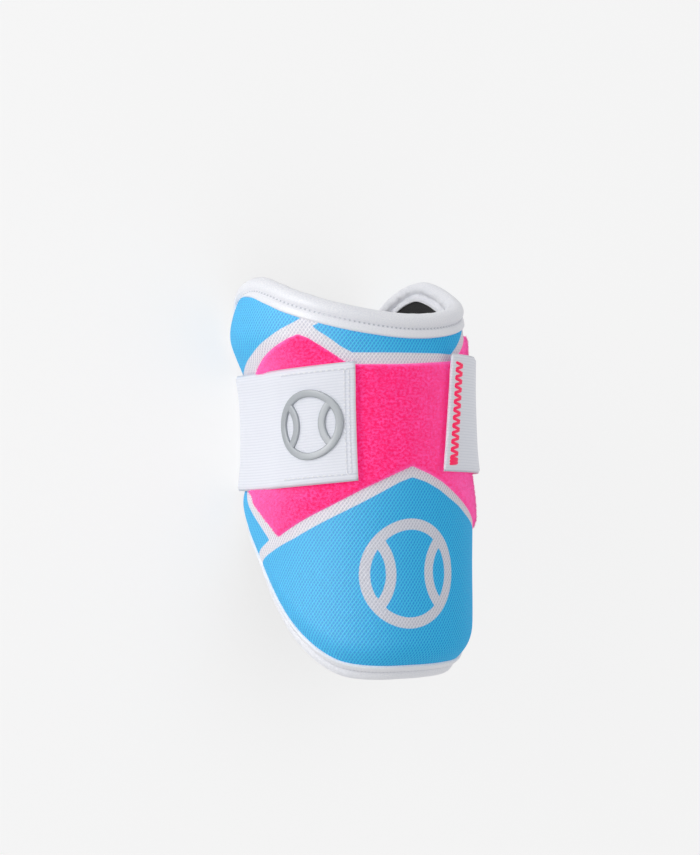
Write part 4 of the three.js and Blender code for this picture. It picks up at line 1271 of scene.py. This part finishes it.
class GUARD_OT_pile_fibres(bpy.types.Operator):
    """Short brushed fibres over the whole loop panel"""

    bl_idname = "guard.pile_fibres"
    bl_label = "Pile fibres"

    def execute(self, context):
        settings = settings_of("guard_panel")
        top, bottom = outline(PANEL_TOP), outline(PANEL_BOTTOM)
        chance = np.random.default_rng(11)
        count = settings.fibres
        s = chance.uniform(top[-1, 0], top[0, 0], 2 * count)
        y = chance.uniform(bottom[:, 1].min(), top[:, 1].max(), 2 * count)
        flat = np.stack([s, y], axis=1)
        flat = flat[panel_side(flat) > 0.1][:count]
        n = len(flat)
        lean = chance.normal(0, 1, (n, 2)) + FIBRE_LEAN
        length = settings.fibre_length * chance.uniform(0.5, 1.0, (n, 1))
        height = pile_height(flat)
        foot = over_shell(flat, height - FIBRE_SINK)
        tip_flat = flat + 0.75 * length * lean / np.maximum(np.linalg.norm(lean, axis=1, keepdims=True), 0.4)
        tip = over_shell(tip_flat, height + length[:, 0] * chance.uniform(0.25, 0.7, n))
        around, upward = (over_shell(flat + shift, height - FIBRE_SINK) for shift in ((0.5, 0), (0, 0.5)))
        normal = unit(np.cross(upward - foot, around - foot))
        shading = unit(normal + 0.5 * unit(chance.normal(0, 1, (n, 3))))
        side = unit(np.cross(tip - foot, normal)) * settings.fibre_width / 2
        back = unit(np.cross(side, tip - foot)) * settings.fibre_width / 2
        co = np.stack([foot + side, foot - side, foot + back * 1.7, tip], axis=1)
        base = 4 * np.arange(n)[:, None, None]
        corners = np.array([[0, 1, 3, 3], [1, 2, 3, 3], [2, 0, 3, 3], [0, 2, 1, 1]])
        faces = (base + corners[None]).reshape(-1, 4)
        uv = np.repeat(flat, 4, axis=0)
        material = bpy.data.materials["guard_pink_pile"]
        patches = [(co.reshape(-1, 3), uv, faces)]
        fibres = build("loop_panel_fibres", patches, material, shading=np.repeat(shading, 4, axis=0))
        settle(fibres, "pink_pile")
        return {"FINISHED"}


def recalculate(piece):
    """Turns every face of a closed mesh outwards."""
    work = bmesh.new()
    work.from_mesh(piece.data)
    bmesh.ops.recalc_face_normals(work, faces=work.faces)
    work.to_mesh(piece.data)
    work.free()
    piece.data.update()


def beside_arm(angle, y, lift):
    """Point beside the arm at a height over the outer face, measured in the plane of the section, and the
    normal in that plane."""
    step = 0.001
    low, below, high, above = STRAP_CALM
    calm = np.clip(y, low, high) + below * np.minimum(y - low, 0) + above * np.maximum(y - high, 0)
    before = face_point((angle - step) * FLAT_RADIUS, calm)
    after = face_point((angle + step) * FLAT_RADIUS, calm)
    run = after - before
    normal = unit(np.stack([run[..., 2], 0 * run[..., 1], -run[..., 0]], axis=-1))
    point = face_point(angle * FLAT_RADIUS, calm) + normal * np.asarray(lift)[..., None]
    point[..., 1] = y
    return point, normal


def turn_angle(side, y):
    """Angle at which the strap leaves the side for the fillet across the back, by halving the range in which
    the fillet's lowest point meets the back's level."""
    floor = -(BACK_DEPTH - STRAP_THICKNESS)
    low = np.full(y.shape, math.radians(80))
    high = np.full(y.shape, math.radians(150))
    for _ in range(40):
        middle = (low + high) / 2
        point, normal = beside_arm(side * middle, y, STRAP_OVER_PANEL + 0 * y)
        lowest = (point - normal * BACK_FILLET)[..., 2] - BACK_FILLET
        low = np.where(lowest > floor, middle, low)
        high = np.where(lowest > floor, high, middle)
    return (low + high) / 2


def strap_lift(from_end):
    """Height of the strap's inner face over the shell: over the hook pad near its end, then down to the pile
    by a soft step."""
    hook = (HOOK_WIDE[0] + HOOK_INSET) / FLAT_RADIUS
    t = np.clip((from_end - hook) / (0.4 * hook), 0, 1)
    fade = t * t * (3 - 2 * t)
    return STRAP_OVER_HOOK + (STRAP_OVER_PANEL - STRAP_OVER_HOOK) * fade


def strap_grid(across):
    """Inner face of the strap as a grid (along, across) of points and normals, with the way along it. It runs
    from the wide end down the left side, through a fillet, across the back, through a fillet and up the right
    side to the plain end, at the heights that strap_middle gives."""
    wide, fillet, back, plain = WAY_STEPS
    leaves_left, reaches_back, leaves_back, reaches_right = WAY_SHARES

    def height(share):
        return strap_middle(share)[:, None] + across[None, :]

    blocks = []
    left_y = height(np.array([leaves_left]))[0]
    right_y = height(np.array([reaches_right]))[0]
    left_turn, right_turn = turn_angle(1, left_y), turn_angle(-1, right_y)

    def side_block(side, start, turn, share_from, share_to, count, forwards):
        t = np.linspace(0, 1, count, endpoint=not forwards)[:, None]
        y = height(share_from + (share_to - share_from) * t[:, 0])
        from_end = t if forwards else 1 - t
        angle = start + (turn[None, :] - start) * from_end
        return beside_arm(side * angle, y, strap_lift(angle - start))

    def fillet_block(side, turn, y_at, share_from, share_to, forwards):
        point, normal = beside_arm(side * turn, y_at, STRAP_OVER_PANEL + 0 * y_at)
        centre = point - normal * BACK_FILLET
        first = np.arctan2(normal[:, 2], side * -normal[:, 0])
        t = np.linspace(0, 1, fillet, endpoint=False)[:, None]
        share = share_from + (share_to - share_from) * t[:, 0]
        t = t if forwards else 1 - t
        turn_to = first[None, :] + (-math.pi / 2 - first[None, :]) * t
        out = np.stack([-side * np.cos(turn_to), 0 * turn_to, np.sin(turn_to)], axis=-1)
        co = centre[None] + out * BACK_FILLET
        co[..., 1] = height(share)
        return (co, out), centre[:, 0]

    wide_end = WIDE_END + WIDE_SKEW * across[None, :]
    blocks.append(side_block(1, wide_end, left_turn, 0.0, leaves_left, wide, True))
    block, from_x = fillet_block(1, left_turn, left_y, leaves_left, reaches_back, True)
    blocks.append(block)
    right_block, to_x = fillet_block(-1, right_turn, right_y, leaves_back, reaches_right, False)
    t = np.linspace(0, 1, back, endpoint=False)[:, None]
    share = reaches_back + (leaves_back - reaches_back) * t[:, 0]
    x = from_x[None, :] * (1 - t) + to_x[None, :] * t
    co = np.stack([x, height(share), 0 * x - (BACK_DEPTH - STRAP_THICKNESS)], axis=-1)
    blocks.append((co, np.broadcast_to(np.array([0.0, 0.0, -1.0]), co.shape)))
    blocks.append(right_block)
    plain_end = PLAIN_END + PLAIN_SKEW * across[None, :]
    blocks.append(side_block(-1, plain_end, right_turn, reaches_right, 1.0, plain, False))
    co = np.concatenate([b[0] for b in blocks])
    normal = np.concatenate([b[1] for b in blocks])
    return co, normal, way_along(co[:, co.shape[1] // 2])


def round_edged(middle, normal, half, near, flat):
    """Both faces of a sheet about its middle, which meet in a round edge: near is the way in from it."""
    thick = half * quarter_round(near / half)
    over = middle + normal * thick[..., None]
    under = middle - normal * thick[..., None]
    return [patch(over, flat), patch(under, flat, flip=True)]


def eased(count, reach, edge):
    """Positions from -reach to reach that crowd within edge of both ends."""
    t = np.linspace(-1, 1, count)
    inner = t * (reach - edge)
    tail = np.sign(t) * edge * np.clip((np.abs(t) - 0.9) / 0.1, 0, 1) ** 0.6
    return inner + tail


class GUARD_OT_strap(bpy.types.Operator):
    """Elastic strap from its wide end round the back to its plain end"""

    bl_idname = "guard.strap"
    bl_label = "Elastic strap"

    def execute(self, context):
        settings = settings_of("guard_strap")
        across = eased(41, STRAP_WIDTH / 2, 0.7)
        co, normal, way = strap_grid(across)
        from_side = STRAP_WIDTH / 2 - np.abs(across)
        from_end = np.minimum(way, way[-1] - way)
        near = np.minimum(from_end[:, None], from_side[None, :])
        half = STRAP_THICKNESS / 2
        flat = np.stack(np.broadcast_arrays(way[:, None], across[None, :]), axis=-1)
        patches = round_edged(co + normal * half, normal, half, near, flat)
        strap = build("elastic_strap_webbing", patches, elastic_material(settings))
        settle(strap, "white_elastic", "elastic_strap")
        return {"FINISHED"}


def strap_middle(share):
    """Height of the strap's middle line at a share of the way round: a straight rise less a half sine dip and
    a whole sine twist."""
    drop = STRAP_DIP * np.sin(np.pi * share) + STRAP_TWIST * np.sin(2 * np.pi * share)
    return STRAP_HEIGHT + STRAP_RISE * share - drop


def near_strap_end(side, along, across, lift):
    """Point and normal over the shell near one end of the strap: side is 1 at the wide end and -1 at the
    plain end, along is the way from that end and across the way up from the strap's middle line."""
    along, across = np.broadcast_arrays(np.asarray(along, float), np.asarray(across, float))
    end = WIDE_END + WIDE_SKEW * across if side > 0 else PLAIN_END + PLAIN_SKEW * across
    angle = end + along / FLAT_RADIUS
    share = along / (2 * math.pi * FLAT_RADIUS)
    y = strap_middle(share if side > 0 else 1 - share) + across
    return beside_arm(side * angle, y, np.broadcast_to(lift, y.shape))


class GUARD_OT_hook_pads(bpy.types.Operator):
    """Hook tape under both ends of the strap"""

    bl_idname = "guard.hook_pads"
    bl_label = "Hook pads"

    def execute(self, context):
        material = hook_material(settings_of("guard_strap"))
        for name, side, (length, width), node in (
            ("hook_tape_wide_end", 1, HOOK_WIDE, "hook_pad_wide_end"),
            ("hook_tape_plain_end", -1, HOOK_PLAIN, "hook_pad_plain_end"),
        ):
            along = HOOK_INSET + np.linspace(0, length, 41)[:, None]
            across = np.linspace(-width / 2, width / 2, 47)[None, :]
            flat = np.stack(np.broadcast_arrays(along, across), axis=-1)
            from_end = np.minimum(along - HOOK_INSET, HOOK_INSET + length - along)
            near = np.minimum(from_end, width / 2 - np.abs(across))
            centre, normal = near_strap_end(side, along, across, (HOOK_BASE + HOOK_FACE) / 2)
            patches = round_edged(centre, normal, (HOOK_FACE - HOOK_BASE) / 2, near, flat)
            settle(build(name, patches, material), "white_hook", node)
        return {"FINISHED"}


def emblem_line(path, width, base, rise, closed):
    """A raised line on the strap's wide end: a low rounded section carried along a flat path."""
    turn = np.linspace(0, math.pi, 13)
    cos = np.cos(turn)
    section_x = np.concatenate([[-1.0], -np.sign(cos) * np.abs(cos) ** 0.45, [1.0]]) * width / 2
    section_z = np.concatenate([[0.0], 0.25 + 0.75 * np.sin(turn) ** 0.45, [0.0]]) * rise
    if closed:
        run = np.roll(path, -1, axis=0) - np.roll(path, 1, axis=0)
    else:
        run = np.gradient(path, axis=0)
    run = unit(run)
    side = np.stack([-run[:, 1], run[:, 0]], axis=1)
    spot = path[:, None, :] + side[:, None, :] * section_x[None, :, None]
    co, _ = near_strap_end(1, spot[..., 0], spot[..., 1], base + section_z[None, :] + 0 * spot[..., 0])
    under = np.stack([co[:, -1], co[:, 0]], axis=1)
    patches = [patch(co, close_rows=closed), patch(under, close_rows=closed)]
    if not closed:
        for end in (0, -1):
            middle = co[end].mean(axis=0)
            for rim in (co[end], under[end]):
                patches.append(patch(np.stack([rim, np.broadcast_to(middle, rim.shape)], axis=0)))
    return patches


class GUARD_OT_emblem(bpy.types.Operator):
    """Raised grey ball emblem on the strap's wide end"""

    bl_idname = "guard.emblem"
    bl_label = "Strap emblem"

    def execute(self, context):
        settings = settings_of("guard_emblem")
        base = STRAP_OVER_HOOK + STRAP_THICKNESS - 0.05
        turn = np.linspace(0, 2 * math.pi, 144, endpoint=False)[:, None]
        circle = EMBLEM_MIDDLE + settings.radius * np.concatenate([np.cos(turn), np.sin(turn)], axis=1)
        patches = emblem_line(circle, settings.line, base, EMBLEM_RISE, True)
        seam_radius, beside = 0.9 * settings.radius, 1.35 * settings.radius
        spread = math.acos((beside**2 + seam_radius**2 - settings.radius**2) / (2 * beside * seam_radius))
        turn = np.linspace(-spread, spread, 60)[:, None]
        for side in (-1, 1):
            bow = side * (beside - seam_radius * np.cos(turn))
            seam = np.concatenate([bow, seam_radius * np.sin(turn)], axis=1)
            patches += emblem_line(EMBLEM_MIDDLE + seam, settings.line, base, EMBLEM_SEAM_RISE, False)
        emblem = build("strap_emblem_ball", patches, rubber_material(settings))
        recalculate(emblem)
        settle(emblem, "grey_rubber", "strap_emblem")
        return {"FINISHED"}


def stitch_run(side, start, end, pitch, lift):
    """Stitch centres, directions and normals along a straight run on the strap, from start to end, each as
    (along, across)."""
    start, end = np.array(start, float), np.array(end, float)
    count = max(1, int(round(np.linalg.norm(end - start) / pitch)))
    spots = start + (end - start) * ((np.arange(count) + 0.5) / count)[:, None]
    centres, normals = near_strap_end(side, spots[:, 0], spots[:, 1], lift)
    ahead = spots + unit(end - start) * 0.2
    after, _ = near_strap_end(side, ahead[:, 0], ahead[:, 1], lift)
    return centres, after - centres, normals


class GUARD_OT_strap_stitches(bpy.types.Operator):
    """White rectangle of stitches on the wide end and pink zigzag on the plain end"""

    bl_idname = "guard.strap_stitches"
    bl_label = "Strap stitches"

    def execute(self, context):
        binding, strap = settings_of("guard_binding"), settings_of("guard_strap")
        lift = STRAP_OVER_HOOK + STRAP_THICKNESS + 0.02
        half, near = SEAM_HALF, SEAM_ENDS[0]
        lines = [((near, side * half), (SEAM_LENGTH, side * half)) for side in (1, -1)]
        lines += [((at, -half), (at, half)) for at in SEAM_ENDS]
        runs = [stitch_run(1, start, end, STRAP_STITCH_PITCH, lift) for start, end in lines]
        white = [beads(*run, 1.6, 0.3) for run in runs]
        thread = bpy.data.materials.get("guard_white_thread")
        stitches = build("strap_wide_end_stitches", white, thread)
        settle(stitches, "white_elastic")
        across = np.concatenate([np.linspace(*row) for row in ZIGZAG_ACROSS])
        along = np.where(np.arange(len(across)) % 2 == 0, *ZIGZAG_ALONG)
        spots = np.stack([along, across], axis=1)
        legs = [stitch_run(-1, a, b, 99, lift) for a, b in zip(spots[:-1], spots[1:])]
        centres, directions, normals = (np.concatenate([leg[k] for leg in legs]) for k in range(3))
        # The pink thread gets a painted glow, an emission that brightens it without a lamp.
        pink = thread_material("guard_pink_thread", strap.thread, strap.thread_deep, 0.22)
        zigzag = build("strap_plain_end_zigzag", [beads(centres, directions, normals, 7.5, 0.68, 0.8)], pink)
        settle(zigzag, "pink_pile")
        return {"FINISHED"}


def stage_material(settings):
    """Matt pale floor with some light of its own, so that it stays evenly pale."""
    glow = {"Emission Color": (1, 1, 1, 1), "Emission Strength": settings.floor_glow}
    constants = {"Base Color": settings.floor, "Roughness": 0.9, "Specular IOR Level": 0.0, **glow}
    return new_material("stage_floor", constants)[0]


class GUARD_OT_stage(bpy.types.Operator):
    """Floor, lights, surroundings and camera"""

    bl_idname = "guard.stage"
    bl_label = "Stage"

    def execute(self, context):
        settings = settings_of("guard_stage")
        scene = context.scene
        mesh = bpy.data.meshes.new("stage_floor")
        corners = [(x * FLOOR_REACH, y * FLOOR_REACH, 0) for x, y in ((-1, -1), (1, -1), (1, 1), (-1, 1))]
        mesh.from_pydata(corners, [], [(0, 1, 2, 3)])
        mesh.materials.append(stage_material(settings))
        floor = bpy.data.objects.new("stage_floor", mesh)
        scene.collection.objects.link(floor)
        floor.visible_glossy = False
        world = bpy.data.worlds.new("stage_sky")
        world.use_nodes = True
        background = world.node_tree.nodes["Background"]
        background.inputs["Color"].default_value = (1, 1, 1, 1)
        background.inputs["Strength"].default_value = settings.sky
        scene.world = world
        flat_back = Vector((-math.sin(VIEW_TURN), 0, math.cos(VIEW_TURN)))
        back = flat_back * math.cos(VIEW_TILT) + Vector((0, math.sin(VIEW_TILT), 0))
        right = Vector((0, 1, 0)).cross(back).normalized()
        up = back.cross(right)
        offset = VIEW_OFFSET[0] * right + VIEW_OFFSET[1] * up + VIEW_DISTANCE * back
        camera = bpy.data.objects.new("photo_view", bpy.data.cameras.new("photo_view"))
        camera.data.lens = FOCAL_LENGTH
        camera.data.sensor_width = 36
        camera.data.sensor_fit = "AUTO"
        camera.data.clip_start, camera.data.clip_end = 0.05, 50
        camera.matrix_world = Matrix.LocRotScale(
            (offset + Vector(ARM_AXIS)) * 0.001, Matrix((right, up, back)).transposed().to_quaternion(), None
        )
        scene.collection.objects.link(camera)
        scene.camera = camera
        for name, setting, size, (rightward, upward, backward) in LIGHTS:
            place = rightward * right + upward * up + backward * back
            light = bpy.data.lights.new(name, "AREA")
            light.energy = getattr(settings, setting)
            light.shape = "DISK"
            light.size = size
            lamp = bpy.data.objects.new(name, light)
            lamp.matrix_world = Matrix.LocRotScale(LIGHT_AIM + place, place.to_track_quat("Z", "Y"), None)
            lamp.visible_diffuse = name != "gloss_light"
            scene.collection.objects.link(lamp)
        scene.view_settings.view_transform = "Standard"
        scene.view_settings.look = "None"
        return {"FINISHED"}


class GUARD_PT_panel(bpy.types.Panel):
    """Sidebar panel with the settings and the operators in building order"""

    bl_idname = "GUARD_PT_panel"
    bl_label = "Elbow Guard"
    bl_space_type = "VIEW_3D"
    bl_region_type = "UI"
    bl_category = "Elbow Guard"

    def draw(self, context):
        for name, kind in SETTINGS.items():
            box = self.layout.box()
            box.label(text=kind.__doc__)
            for field in kind.__annotations__:
                box.prop(getattr(context.scene, name), field)
        for operator in OPERATORS:
            self.layout.operator(operator.bl_idname)


SETTINGS = {
    "guard_shell": GuardShellSettings,
    "guard_binding": GuardBindingSettings,
    "guard_panel": GuardPanelSettings,
    "guard_strap": GuardStrapSettings,
    "guard_emblem": GuardEmblemSettings,
    "guard_stage": GuardStageSettings,
}
OPERATORS = (
    GUARD_OT_stage,
    GUARD_OT_shell,
    GUARD_OT_lining,
    GUARD_OT_binding,
    GUARD_OT_binding_stitches,
    GUARD_OT_loop_panel,
    GUARD_OT_pile_fibres,
    GUARD_OT_strap,
    GUARD_OT_hook_pads,
    GUARD_OT_emblem,
    GUARD_OT_strap_stitches,
)


def register():
    """Registers the settings, operators and panel, and hangs the settings on the scene."""
    for kind in (*SETTINGS.values(), *OPERATORS, GUARD_PT_panel):
        bpy.utils.register_class(kind)
    for name, kind in SETTINGS.items():
        setattr(bpy.types.Scene, name, bpy.props.PointerProperty(type=kind))


def unregister():
    """Takes the settings, operators and panel away again."""
    for name in SETTINGS:
        delattr(bpy.types.Scene, name)
    for kind in (GUARD_PT_panel, *reversed(OPERATORS), *reversed(SETTINGS.values())):
        bpy.utils.unregister_class(kind)


def main():
    """Builds every piece in order."""
    register()
    for operator in OPERATORS:
        getattr(bpy.ops.guard, operator.bl_idname.split(".")[1])()


if __name__ == "__main__":
    main()
